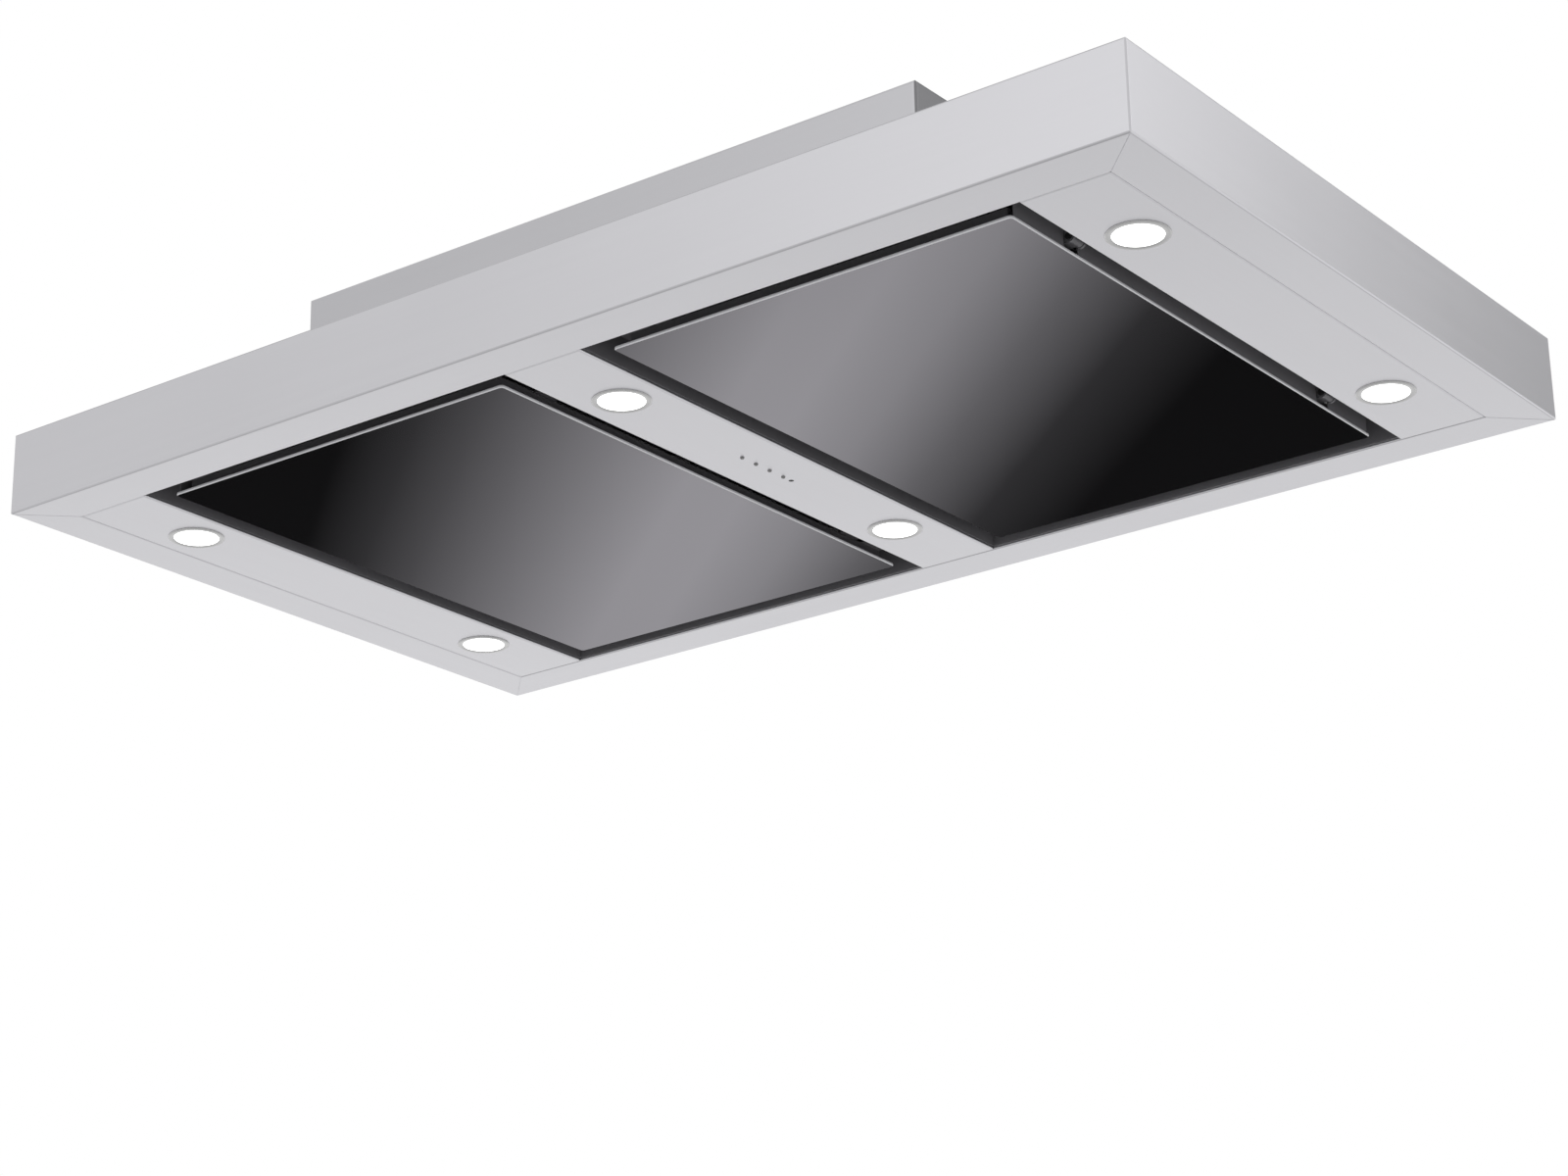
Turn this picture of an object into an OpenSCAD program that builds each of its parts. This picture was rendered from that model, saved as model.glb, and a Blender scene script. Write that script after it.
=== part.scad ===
// Ceiling range hood that draws air in through narrow gaps round two black glass panels.
// The glass panels swing down on pin hinges, so that the grease filters behind them can be reached.
// x runs along the hood, y across it and z up. The origin is the middle of the face that meets the
// ceiling. Heights inside the body are measured up from its underside, by from_underside().

/* [Body] */
// Length of the body along x
body_w = 1200; // [980:5:1500]
// Depth of the body along y
body_d = 700; // [660:5:900]
// Height of the fascia round the body
body_h = 78; // [72:1:110]
// Width of the folded rim round the underside
rim_w = 46; // [40:1:58]
// Width of the flange round the top of the body
roof_flange_w = 25; // [18:1:30]
// Thickness of the stainless sheet
sheet = 1; // [0.8:0.1:1.2]
// Outer radius of the body's bends
bend_r = 2; // [1.5:0.1:3]

/* [Plinth] */
// Length of the plinth along x
plinth_w = 675; // [660:5:760]
// Depth of the plinth along y
plinth_d = 475; // [455:5:560]
// Height of the plinth above the body
plinth_h = 100; // [90:1:200]
// Outer radius of the plinth's bends
plinth_r = 3; // [2:0.5:5]
// Width of the flange round the foot of the plinth
foot_flange_w = 20; // [16:1:26]

/* [Underside] */
// Width of each strip between an opening and the rim
outer_strip_w = 81; // [64:1:120]
// Width of the strip between the two openings
centre_strip_w = 82; // [80:1:100]
// Height of the turned-up edges of the rim and the strips
edge_h = 26; // [25:0.5:28]
// Outer radius of those turned-up edges
edge_r = 1.5; // [1.3:0.1:2]
// Gap between a strip and the rim or tray beside it
seam = 0.2; // [0.1:0.05:0.3]

/* [Glass panels] */
// Width of the suction gap round a glass panel
panel_gap = 19.5; // [18:0.5:24]
// Thickness of the glass
glass_t = 3; // [3:0.5:5]
// Height of the glass face above the face of the rim
glass_recess = 1.5; // [0.5:0.25:2.5]
// Corner radius of the glass
glass_r = 4; // [2:0.5:10]
// Distance from the edge of the glass in to its carrier
carrier_inset = 10; // [6:1:14]
// Height of the carrier
carrier_h = 12; // [10:0.5:13]
// Thickness of the carrier's sheet
carrier_t = 1; // [0.8:0.1:1.2]

/* [Inlet trays] */
// Thickness of the tray's sheet
tray_t = 1; // [0.8:0.1:1.2]
// Height of the underside of the tray's ledge
ledge_h = 30; // [29:0.5:32]
// Width of the ledge round the filter
ledge_w = 32; // [30:1:36]
// Width of the lip above the filter
lip_w = 8; // [6:1:10]

/* [Hinges and catches] */
// Distance of each hinge from the middle of the panel
hinge_y = 200; // [120:5:230]
// Radius of a hinge pin
pin_r = 2; // [1.5:0.1:2.5]
// Width of the ear that turns between the two cheeks of a hinge
ear_w = 12; // [8:1:20]
// Thickness of a hinge cheek
cheek_t = 2.5; // [2:0.5:4]
// Distance of each catch from the middle of the panel
catch_y = 220; // [100:5:240]
// Length of a catch along y
catch_l = 26; // [20:1:40]

/* [Grease filters] */
// Thickness of a filter
filter_t = 9; // [8:0.5:12]
// Width of the filter's frame
frame_w = 18; // [14:1:24]
// Distance between two pleats of the filter pad
pleat_pitch = 10; // [8:0.5:16]
// Thickness of the latch's sliding tongue
tongue_t = 1.4; // [1.2:0.1:2]
// Width of the latch
latch_w = 30; // [24:1:44]
// How far the latch slides to free the filter
latch_travel = 7; // [6:0.5:9]

/* [Lamps and controls] */
// Distance of each lamp from the long middle line of the hood
lamp_y = 200; // [150:5:240]
// Radius of the lit lens
lens_r = 22.5; // [18:0.5:24]
// Width of the trim ring's lip round the lens
ring_w = 3.5; // [3:0.25:5]
// Radius of a push button
button_r = 1.75; // [1.5:0.05:2.5]
// Distance between two buttons
button_pitch = 20; // [14:0.5:22]
// How far a button stands out of the strip
button_out = 1.6; // [1.5:0.1:4]
// How far a button travels when it is pressed
button_travel = 1; // [0.5:0.1:1.5]

/* [Outlet and mounting] */
// Outer radius of the outlet collar, for round duct
collar_r = 74.5; // [59.5:0.5:80]
// Wall of the collar
collar_wall = 2; // [1.5:0.1:3]
// Height of the collar above the ceiling face
collar_out = 58; // [40:1:80]
// Distance between the ceiling bolts along x
bolt_x = 500; // [400:10:560]
// Distance between the ceiling bolts along y
bolt_y = 380; // [320:10:400]
// Radius of a ceiling bolt's hole
bolt_r = 4.5; // [3:0.25:6.5]

/* [Hidden] */
$fn = 48;

// Colours
steel_colour = [0.78, 0.78, 0.8];
zinc_colour = [0.66, 0.68, 0.7];
black_colour = [0.08, 0.08, 0.09];
glass_colour = [0.03, 0.03, 0.035];
aluminium_colour = [0.8, 0.81, 0.82];
plastic_colour = [0.16, 0.16, 0.17];
white_colour = [0.93, 0.93, 0.9];
lens_colour = [1, 1, 0.97];
board_colour = [0.1, 0.34, 0.2];
brass_colour = [0.78, 0.62, 0.3];
cable_colour = [0.85, 0.85, 0.83];

// Clearances
over = 1;
run_clear = 0.3;
pin_clear = 0.05;

// Places that follow from the driving sizes
under_z = -(plinth_h + body_h);
roof_h = body_h - sheet;
field_w = body_w - 2 * rim_w;
field_d = body_d - 2 * rim_w;
opening_w = (field_w - centre_strip_w) / 2 - outer_strip_w;
opening_x = (centre_strip_w + opening_w) / 2;
outer_lamp_x = (field_w - outer_strip_w) / 2;
lamp_places = [for (x = [-outer_lamp_x, 0, outer_lamp_x], y = [-lamp_y, lamp_y]) [x, y]];

// Mitre seam at the corners of the rim
mitre_w = 0.5;
mitre_depth = 0.4;

// Inlet tray, drawn about the middle of its opening
tray_w = opening_w - 2 * seam;
tray_d = field_d - 2 * seam;
tray_foot = 2 * edge_r;
pocket_w = tray_w - 2 * ledge_w;
pocket_d = tray_d - 2 * ledge_w;
ledge_top = ledge_h + tray_t;
slot_t = tongue_t + 2 * run_clear;
filter_h = ledge_top + slot_t;
lip_h = filter_h + filter_t;

// Glass panel, drawn about the middle of its opening
glass_w = opening_w - 2 * panel_gap;
glass_d = field_d - 2 * panel_gap;
glass_top = glass_recess + glass_t;
glass_arris = 0.4;
carrier_w = glass_w - 2 * carrier_inset;
carrier_d = glass_d - 2 * carrier_inset;
carrier_r = 1.5 * carrier_t;
carrier_top = glass_top + carrier_h;
catch_w = 12;

// Hinge: the open glass stands swing_clear away from the wall of the tray
swing_clear = 3.3;
arm_t = 7;
ear_r = 4.5;
cheek_r = 5;
bracket_t = 1.5;
pin_head_r = 3.2;
pin_head_t = 1;
hinge_h = carrier_top - arm_t / 2;
hinge_x = -tray_w / 2 + tray_t + swing_clear + hinge_h - glass_recess;

// Catch
magnet_r = 4;
magnet_t = 6;
magnet_sink = 0.3;

// Filter
filter_side = 2;
filter_w = pocket_w - 2 * filter_side;
filter_d = pocket_d - 2 * filter_side;
groove_depth = 6;
frame_wall = 2;
pad_t = 0.8;
pad_clear = 0.2;
pad_grip = 5;
tab_w = 24;
tab_share = 0.3;
tab_reach = 7;
grip_w = 10;
grip_t = 6;
latch_back = 30;
guide_t = 2;
guide_w = 12;
guide_foot = 1.3;

// Lamp
ring_r = lens_r + ring_w;
ring_t = 1.2;
ring_chamfer = 0.6;
ring_tube_t = 1.3;
ring_tube_h = 8;
lens_t = 2;
lens_out = 0.6;
lens_clear = 0.1;
lamp_board_t = 1.6;
lamp_board_r = 18;
sink_h = 22;
sink_core_r = 12;
sink_base_t = 4;
fin_count = 16;
fin_gap = 3;
clip_t = 0.8;
clip_w = 8;
clip_reach = 3;
clip_drop = 4;
lamp_hole_r = lens_r + lens_clear + ring_tube_t + run_clear;

// Controls, along the centre strip
button_count = 4;
button_flange_r = 3;
button_flange_t = 1;
button_in = 8;
button_row_y = -3;
window_r = 2.4;
window_gap = 12;
window_y = button_place(button_count) + window_gap;
switch_w = 6;
switch_h = 4;
switch_base = button_in + button_travel + run_clear;
control_board_t = 1.6;
control_board_h = switch_base + switch_h;
control_board_w = 38;
control_board_l = 100;
control_y = (button_place(1) + window_y) / 2;
control_wall = 1.5;
control_clear = 0.4;
post_r = 3;
control_h = 8;

// Cases on the underside of the roof, over the outer strips
case_w = 60;
case_l = 170;
case_h = 28;
case_t = 1.2;
case_lid_t = 1.2;

// Terminal box under the top of the plinth
terminal_x = 200;
terminal_w = 70;
terminal_l = 110;
terminal_h = 42;
terminal_wall = 2;
terminal_lid_t = 2.5;
terminal_ways = 5;
way_w = 12;
way_l = 24;
way_h = 18;
way_bore_r = 2;
grommet_r = 10;
grommet_bore_r = 5;
grommet_t = 3;
grommet_lip = 3;

// Outlet
collar_in = 32;
collar_flange_w = 22;
collar_flange_t = 2;
collar_seat = 4;
collar_gap = 0.5;
collar_bead_w = 3;
collar_stop_h = 1;
flap_t = 1.5;
flap_clear = 1.5;
knuckle_r = 3.5;
knuckle_l = 30;
knuckle_gap = 2;
damper_z = -22;
damper_edge = 4.2;

// Mounting rails
rail_w = 40;
rail_h = 20;
rail_t = 2;
rail_over = 60;

// Screws
screw_r = 2;
screw_head_r = 3.6;
screw_head_t = 1.8;
socket_r = 1.7;
screw_tail = 4;
roof_screw_share = 0.5;
tray_screw_h = 21;
tray_screw_y_share = 0.4;
tray_screw_x_share = 0.3;

// Cables
cable_r = 2.5;
lead_r = 2;
mains_cable_r = 4;
cable_pitch = 10;
roof_edge_y = plinth_d / 2 - foot_flange_w;

// Frame of the drawing

module from_underside() {
    translate([0, 0, under_z]) children();
}

// Draws a piece that is made for the left opening there, or mirrored for the right one
module on_side(side) {
    mirror([side > 0 ? 1 : 0, 0, 0]) from_underside() translate([-opening_x, 0, 0]) children();
}

// A block that stands on its base, centred in x and y
module block(w, d, h) {
    translate([-w / 2, -d / 2, 0]) cube([w, d, h]);
}

module rounded_rect(w, d, r) {
    square([w - 2 * r, d], center = true);
    square([w, d - 2 * r], center = true);
    for (x = [-1, 1], y = [-1, 1])
        translate([x * (w / 2 - r), y * (d / 2 - r)]) circle(r);
}

// A block whose twelve edges are bent round
module rounded_block(w, d, h, r) {
    intersection() {
        linear_extrude(h) rounded_rect(w, d, r);
        translate([0, d / 2, h / 2]) rotate([90, 0, 0]) linear_extrude(d) rounded_rect(w, h, r);
        translate([-w / 2, 0, h / 2]) rotate([90, 0, 90]) linear_extrude(w) rounded_rect(d, h, r);
    }
}

// A folded sheet pan, open at the top
module pan(w, d, h, t, r) {
    spare = r + over;
    difference() {
        intersection() {
            rounded_block(w, d, h + spare, r);
            block(w, d, h);
        }
        translate([0, 0, t]) rounded_block(w - 2 * t, d - 2 * t, h + spare, r - t);
    }
}

// A wall of thickness t round a rectangle, its outside w by d
module ring_wall(w, d, h, t) {
    difference() {
        block(w, d, h);
        translate([0, 0, -over]) block(w - 2 * t, d - 2 * t, h + 2 * over);
    }
}

// A machine screw with its head above the origin and its shank below
module screw(l) {
    difference() {
        union() {
            cylinder(h = screw_head_t, r = screw_head_r);
            translate([0, 0, -l]) cylinder(h = l + screw_head_t / 2, r = screw_r);
        }
        translate([0, 0, screw_head_t / 2]) cylinder(h = screw_head_t, r = socket_r, $fn = 6);
    }
}

// A straight round bar between two points that differ along one axis
module bar(a, b, r) {
    run = b - a;
    turn = run[0] != 0 ? [0, 90, 0] : run[1] != 0 ? [-90, 0, 0] : [0, 0, 0];
    start = [min(a[0], b[0]), min(a[1], b[1]), min(a[2], b[2])];
    translate(start) rotate(turn) cylinder(h = norm(run), r = r);
}

// A cable along a chain of points, round at its corners
module cable(points, r) {
    for (i = [0:len(points) - 2])
        bar(points[i], points[i + 1], r);
    for (i = [1:1:len(points) - 2])
        translate(points[i]) sphere(r);
}

// Body

// One turned-up edge of the rim, along y, its outer face on the plane x = 0
module rim_edge(l) {
    translate([0, l / 2, 0]) rotate([90, 0, 0]) linear_extrude(l) {
        translate([-sheet, edge_r]) square([sheet, edge_h - edge_r]);
        translate([-2 * edge_r, 0]) square([edge_r, sheet]);
        difference() {
            translate([-edge_r, edge_r]) circle(edge_r);
            translate([-edge_r, edge_r]) circle(edge_r - sheet);
            translate([-2 * edge_r, edge_r]) square([2 * edge_r, edge_r]);
            translate([-2 * edge_r, 0]) square([edge_r, 2 * edge_r]);
        }
    }
}

module roof_screw_places() {
    rows_x = [-1, -roof_screw_share, 0, roof_screw_share, 1] * (body_w / 2 - roof_flange_w / 2);
    for (x = rows_x, y = [-1, 1]) translate([x, y * (body_d / 2 - roof_flange_w / 2), 0]) children();
    for (x = [-1, 1]) translate([x * (body_w / 2 - roof_flange_w / 2), 0, 0]) children();
}

module casing() {
    roof_w = body_w - 2 * roof_flange_w;
    roof_d = body_d - 2 * roof_flange_w;
    color(steel_colour) from_underside() difference() {
        union() {
            difference() {
                rounded_block(body_w, body_d, body_h, bend_r);
                translate([0, 0, sheet])
                    rounded_block(body_w - 2 * sheet, body_d - 2 * sheet, body_h - 2 * sheet, bend_r - sheet);
                translate([0, 0, -over]) block(field_w + 2 * edge_r, field_d + 2 * edge_r, sheet + 2 * over);
                translate([0, 0, body_h - sheet - over]) block(roof_w, roof_d, sheet + 2 * over);
            }
            for (turn = [0, 180]) rotate([0, 0, turn]) {
                translate([-field_w / 2, 0, 0]) rim_edge(field_d + 2 * edge_r);
                rotate([0, 0, 90]) translate([-field_d / 2, 0, 0]) rim_edge(field_w);
            }
        }
        for (x = [-1, 1], y = [-1, 1])
            translate([x * body_w / 2, y * body_d / 2, 0]) rotate([0, 0, 45 * x * y])
                block(4 * rim_w, mitre_w, mitre_depth);
        roof_screw_places() translate([0, 0, body_h - sheet - over])
            cylinder(h = sheet + 2 * over, r = screw_r);
        tray_screw_holes();
    }
}

module roof_panel() {
    color(zinc_colour) from_underside() translate([0, 0, roof_h - sheet]) difference() {
        block(body_w - 2 * bend_r, body_d - 2 * bend_r, sheet);
        translate([0, 0, -over])
            block(plinth_w - 2 * foot_flange_w, plinth_d - 2 * foot_flange_w, sheet + 2 * over);
        roof_screw_places() translate([0, 0, -over]) cylinder(h = sheet + 2 * over, r = screw_r);
        plinth_screw_places() translate([0, 0, -over]) cylinder(h = sheet + 2 * over, r = screw_r);
    }
}

module roof_screws() {
    color(zinc_colour) from_underside() roof_screw_places()
        translate([0, 0, body_h]) screw(2 * sheet + screw_tail);
}

// Strips of the underside

module strip(x, w) {
    translate([x, 0, 0]) pan(w - 2 * seam, field_d - 2 * seam, edge_h, sheet, edge_r);
}

module lamp_hole(x, y) {
    translate([x, y, -over]) cylinder(h = sheet + 2 * over, r = lamp_hole_r);
}

module outer_strip(side) {
    color(steel_colour) from_underside() difference() {
        strip(side * outer_lamp_x, outer_strip_w);
        for (y = [-lamp_y, lamp_y]) lamp_hole(side * outer_lamp_x, y);
        tray_screw_holes();
    }
}

module left_strip() {
    outer_strip(-1);
}

module right_strip() {
    outer_strip(1);
}

module centre_strip() {
    color(steel_colour) from_underside() difference() {
        strip(0, centre_strip_w);
        for (y = [-lamp_y, lamp_y]) lamp_hole(0, y);
        for (i = [1:button_count])
            translate([0, button_place(i), -over]) cylinder(h = sheet + 2 * over, r = button_r + run_clear);
        translate([0, window_y, -over]) cylinder(h = sheet + 2 * over, r = window_r + pin_clear);
        tray_screw_holes();
    }
}

// Inlet trays

module tray_screw_places() {
    for (turn = [0, 180]) rotate([0, 0, turn]) {
        for (y = [-1, 0, 1] * tray_screw_y_share * tray_d)
            translate([-tray_w / 2 + tray_t, y, tray_screw_h]) rotate([0, 90, 0]) children();
        for (x = [-1, 1] * tray_screw_x_share * tray_w)
            translate([x, -tray_d / 2 + tray_t, tray_screw_h]) rotate([-90, 0, 0]) children();
    }
}

module tray_screw_holes() {
    for (x = [-opening_x, opening_x]) translate([x, 0, 0]) tray_screw_places()
        translate([0, 0, -screw_tail]) cylinder(h = screw_tail + over, r = screw_r);
}

module inlet_tray(side) {
    color(black_colour) on_side(side) difference() {
        union() {
            translate([0, 0, tray_foot]) ring_wall(tray_w, tray_d, ledge_top - tray_foot, tray_t);
            translate([0, 0, ledge_h]) ring_wall(tray_w, tray_d, tray_t, ledge_w);
            translate([0, 0, ledge_h])
                ring_wall(pocket_w + 2 * tray_t, pocket_d + 2 * tray_t, lip_h + tray_t - ledge_h, tray_t);
            translate([0, 0, lip_h])
                ring_wall(pocket_w + 2 * tray_t, pocket_d + 2 * tray_t, tray_t, lip_w + tray_t);
        }
        tray_screw_places() translate([0, 0, -screw_tail]) cylinder(h = screw_tail + over, r = screw_r);
        filter_slot(pocket_w / 2, 0, latch_w);
        for (y = [-1, 1] * tab_share * filter_d) filter_slot(-pocket_w / 2 - tray_t, y, tab_w);
    }
}

// A slot in the wall of the filter's pocket, for the latch or a tab to reach through
module filter_slot(x, y, w) {
    translate([x - over, y - w / 2 - run_clear, ledge_top])
        cube([tray_t + 2 * over, w + 2 * run_clear, slot_t]);
}

module left_inlet_tray() {
    inlet_tray(-1);
}

module right_inlet_tray() {
    inlet_tray(1);
}

module tray_screws() {
    color(black_colour) for (side = [-1, 1]) on_side(side)
        tray_screw_places() screw(tray_t + sheet + screw_tail / 2);
}

// Glass panels

// A rectangle whose lower two corners are cut off
module arris_rect(w, h, c) {
    polygon([[-w / 2 + c, 0], [w / 2 - c, 0], [w / 2, c], [w / 2, h], [-w / 2, h], [-w / 2, c]]);
}

module glass_panel(side) {
    color(glass_colour) on_side(side) translate([0, 0, glass_recess]) intersection() {
        linear_extrude(glass_t) rounded_rect(glass_w, glass_d, glass_r);
        translate([0, glass_d / 2, 0]) rotate([90, 0, 0])
            linear_extrude(glass_d) arris_rect(glass_w, glass_t, glass_arris);
        translate([-glass_w / 2, 0, 0]) rotate([90, 0, 90])
            linear_extrude(glass_w) arris_rect(glass_d, glass_t, glass_arris);
    }
}

module left_glass() {
    glass_panel(-1);
}

module right_glass() {
    glass_panel(1);
}

module hinge_places() {
    for (y = [-hinge_y, hinge_y]) translate([hinge_x, y, hinge_h]) children();
}

// A round rod along y, centred on the origin
module rod(r, l) {
    translate([0, l / 2, 0]) rotate([90, 0, 0]) cylinder(h = l, r = r);
}

module glass_carrier(side) {
    color(black_colour) on_side(side) {
        difference() {
            union() {
                translate([0, 0, glass_top]) pan(carrier_w, carrier_d, carrier_h, carrier_t, carrier_r);
                hinge_places() rod(ear_r, ear_w);
                hinge_places() translate([0, -ear_w / 2, -arm_t / 2])
                    cube([-carrier_w / 2 - hinge_x + carrier_t / 2, ear_w, arm_t]);
            }
            hinge_places() rod(pin_r + pin_clear, ear_w + 2 * over);
        }
        for (y = [-catch_y, catch_y])
            translate([carrier_w / 2 - carrier_t / 2, y - catch_l / 2, carrier_top - carrier_t])
                cube([catch_w + carrier_t / 2, catch_l, carrier_t]);
    }
}

module left_glass_carrier() {
    glass_carrier(-1);
}

module right_glass_carrier() {
    glass_carrier(1);
}

// Hinge brackets hang from the ledge of the tray
module hinge_brackets(side) {
    cheek_in = ear_w / 2 + run_clear;
    cheek_out = cheek_in + cheek_t;
    rise = ledge_h - hinge_h;
    color(black_colour) on_side(side) hinge_places() difference() {
        union() {
            for (y = [-cheek_in - cheek_t / 2, cheek_in + cheek_t / 2]) translate([0, y, 0]) {
                rod(cheek_r, cheek_t);
                translate([-cheek_r, -cheek_t / 2, 0]) cube([2 * cheek_r, cheek_t, rise]);
            }
            translate([0, 0, rise - bracket_t]) block(2 * cheek_r, 2 * cheek_out, bracket_t);
        }
        rod(pin_r + pin_clear, 2 * cheek_out + 2 * over);
    }
}

module left_hinge_brackets() {
    hinge_brackets(-1);
}

module right_hinge_brackets() {
    hinge_brackets(1);
}

module hinge_pins(side) {
    pin_l = ear_w + 2 * run_clear + 2 * cheek_t;
    color(steel_colour) on_side(side) hinge_places() {
        rod(pin_r, pin_l);
        for (y = [-1, 1]) translate([0, y * (pin_l + pin_head_t) / 2, 0]) rod(pin_head_r, pin_head_t);
    }
}

module left_hinge_pins() {
    hinge_pins(-1);
}

module right_hinge_pins() {
    hinge_pins(1);
}

// Catches

module catch_places() {
    for (y = [-catch_y, catch_y])
        translate([(carrier_w + catch_w) / 2, y, carrier_top + run_clear]) children();
}

module catch_housings(side) {
    catch_t = ledge_h - carrier_top - run_clear;
    color(plastic_colour) on_side(side) catch_places() difference() {
        block(catch_w, catch_l, catch_t);
        translate([0, 0, -over]) cylinder(h = magnet_sink + magnet_t + over, r = magnet_r);
    }
}

module left_catch_housings() {
    catch_housings(-1);
}

module right_catch_housings() {
    catch_housings(1);
}

module catch_magnets(side) {
    color(zinc_colour) on_side(side) catch_places()
        translate([0, 0, magnet_sink]) cylinder(h = magnet_t, r = magnet_r);
}

module left_catch_magnets() {
    catch_magnets(-1);
}

module right_catch_magnets() {
    catch_magnets(1);
}

// Grease filters

module filter_frame(side) {
    inner_w = filter_w - 2 * frame_w;
    inner_d = filter_d - 2 * frame_w;
    color(aluminium_colour) on_side(side) {
        translate([0, 0, filter_h]) difference() {
            ring_wall(filter_w, filter_d, filter_t, frame_w);
            translate([0, 0, frame_wall]) block(
                inner_w + 2 * groove_depth, inner_d + 2 * groove_depth, filter_t - 2 * frame_wall);
        }
        for (y = [-1, 1] * tab_share * filter_d)
            translate([-filter_w / 2 - tab_reach, y - tab_w / 2, ledge_top])
                cube([tab_reach + frame_w, tab_w, slot_t]);
        for (y = [-1, 1]) translate([filter_w / 2 - guide_w, y * (latch_w / 2 + run_clear), 0]) {
            translate([0, y < 0 ? -guide_t : 0, filter_h - slot_t - guide_foot])
                cube([guide_w, guide_t, slot_t + guide_foot]);
            translate([0, y < 0 ? -guide_t : -guide_t - run_clear, filter_h - slot_t - guide_foot])
                cube([guide_w, 2 * guide_t + run_clear, guide_foot]);
        }
    }
}

module left_filter_frame() {
    filter_frame(-1);
}

module right_filter_frame() {
    filter_frame(1);
}

// The pad is pleated along x and its edges sit in the groove of the frame
module filter_pad(side) {
    pad_w = filter_w - 2 * frame_w + 2 * pad_grip;
    pad_d = filter_d - 2 * frame_w + 2 * pad_grip;
    rise = filter_t - 2 * frame_wall - 2 * pad_clear - pad_t;
    pleats = 2 * floor(pad_w / pleat_pitch);
    step = pad_w / pleats;
    fold = [for (i = [0:pleats]) [i * step - pad_w / 2, i % 2 == 0 ? 0 : rise]];
    color(aluminium_colour) on_side(side)
        translate([0, pad_d / 2, filter_h + frame_wall + pad_clear]) rotate([90, 0, 0]) linear_extrude(pad_d)
            polygon(concat(fold, [for (i = [pleats:-1:0]) fold[i] + [0, pad_t]]));
}

module left_filter_pad() {
    filter_pad(-1);
}

module right_filter_pad() {
    filter_pad(1);
}

// The latch slides inward to draw its tongue off the ledge
module filter_latch(side) {
    tongue_h = ledge_top + run_clear;
    color(steel_colour) on_side(side) {
        translate([filter_w / 2 - latch_back, -latch_w / 2, tongue_h])
            cube([latch_back + latch_travel, latch_w, tongue_t]);
        translate([filter_w / 2 - latch_back, -latch_w / 2 + guide_t + run_clear, tongue_h - grip_t])
            cube([grip_w, latch_w - 2 * guide_t - 2 * run_clear, grip_t]);
    }
}

module left_filter_latch() {
    filter_latch(-1);
}

module right_filter_latch() {
    filter_latch(1);
}

// Lamps

module at_lamps() {
    from_underside() for (p = lamp_places) translate([p[0], p[1], 0]) children();
}

module lamp_rings() {
    bore = lens_r + lens_clear;
    color(steel_colour) at_lamps() rotate_extrude() polygon([
        [bore, -ring_t], [ring_r - ring_chamfer, -ring_t], [ring_r, ring_chamfer - ring_t], [ring_r, 0],
        [bore + ring_tube_t, 0], [bore + ring_tube_t, ring_tube_h], [bore, ring_tube_h]
    ]);
}

module lamp_lenses() {
    color(lens_colour) at_lamps() translate([0, 0, -lens_out]) cylinder(h = lens_t, r = lens_r);
}

module lamp_boards() {
    color(white_colour) at_lamps()
        translate([0, 0, ring_tube_h - lamp_board_t]) cylinder(h = lamp_board_t, r = lamp_board_r);
}

module lamp_heat_sinks() {
    sink_r = lens_r + lens_clear + ring_tube_t;
    color(aluminium_colour) at_lamps() translate([0, 0, ring_tube_h]) difference() {
        cylinder(h = sink_h, r = sink_r);
        for (i = [0:fin_count - 1]) rotate([0, 0, 360 * i / fin_count])
            translate([sink_core_r, -fin_gap / 2, sink_base_t]) cube([sink_r, fin_gap, sink_h]);
    }
}

// Two spring clips a lamp, which press on the strip from above
module lamp_clips() {
    sink_r = lens_r + lens_clear + ring_tube_t;
    clip_top = ring_tube_h + sink_base_t - clip_t;
    color(zinc_colour) at_lamps() for (turn = [0, 180]) rotate([0, 0, turn + 90])
        translate([0, clip_w / 2, 0]) rotate([90, 0, 0]) linear_extrude(clip_w) polygon([
            [sink_r, clip_top], [sink_r, clip_top + clip_t], [sink_r + clip_reach, clip_top + clip_t],
            [sink_r + clip_reach + clip_t, clip_top], [sink_r + clip_reach + clip_t, sheet],
            [sink_r + clip_reach, sheet], [sink_r + clip_reach, clip_top]
        ]);
}

// Controls

function button_place(i) = button_row_y + (i - (button_count + 1) / 2) * button_pitch;

module button(i) {
    color(plastic_colour) from_underside() translate([0, button_place(i), 0]) {
        translate([0, 0, -button_out]) cylinder(h = button_out + button_in, r = button_r);
        translate([0, 0, sheet + run_clear]) cylinder(h = button_flange_t, r = button_flange_r);
    }
}

module button_1() {
    button(1);
}

module button_2() {
    button(2);
}

module button_3() {
    button(3);
}

module button_4() {
    button(4);
}

module receiver_window() {
    color(glass_colour) from_underside()
        translate([0, window_y, 0]) cylinder(h = control_board_h, r = window_r);
}

module push_switches() {
    color(plastic_colour) from_underside() for (i = [1:button_count])
        translate([0, button_place(i), switch_base]) block(switch_w, switch_w, switch_h);
}

module control_board() {
    color(board_colour) from_underside() translate([0, control_y, control_board_h])
        block(control_board_w, control_board_l, control_board_t);
}

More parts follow.
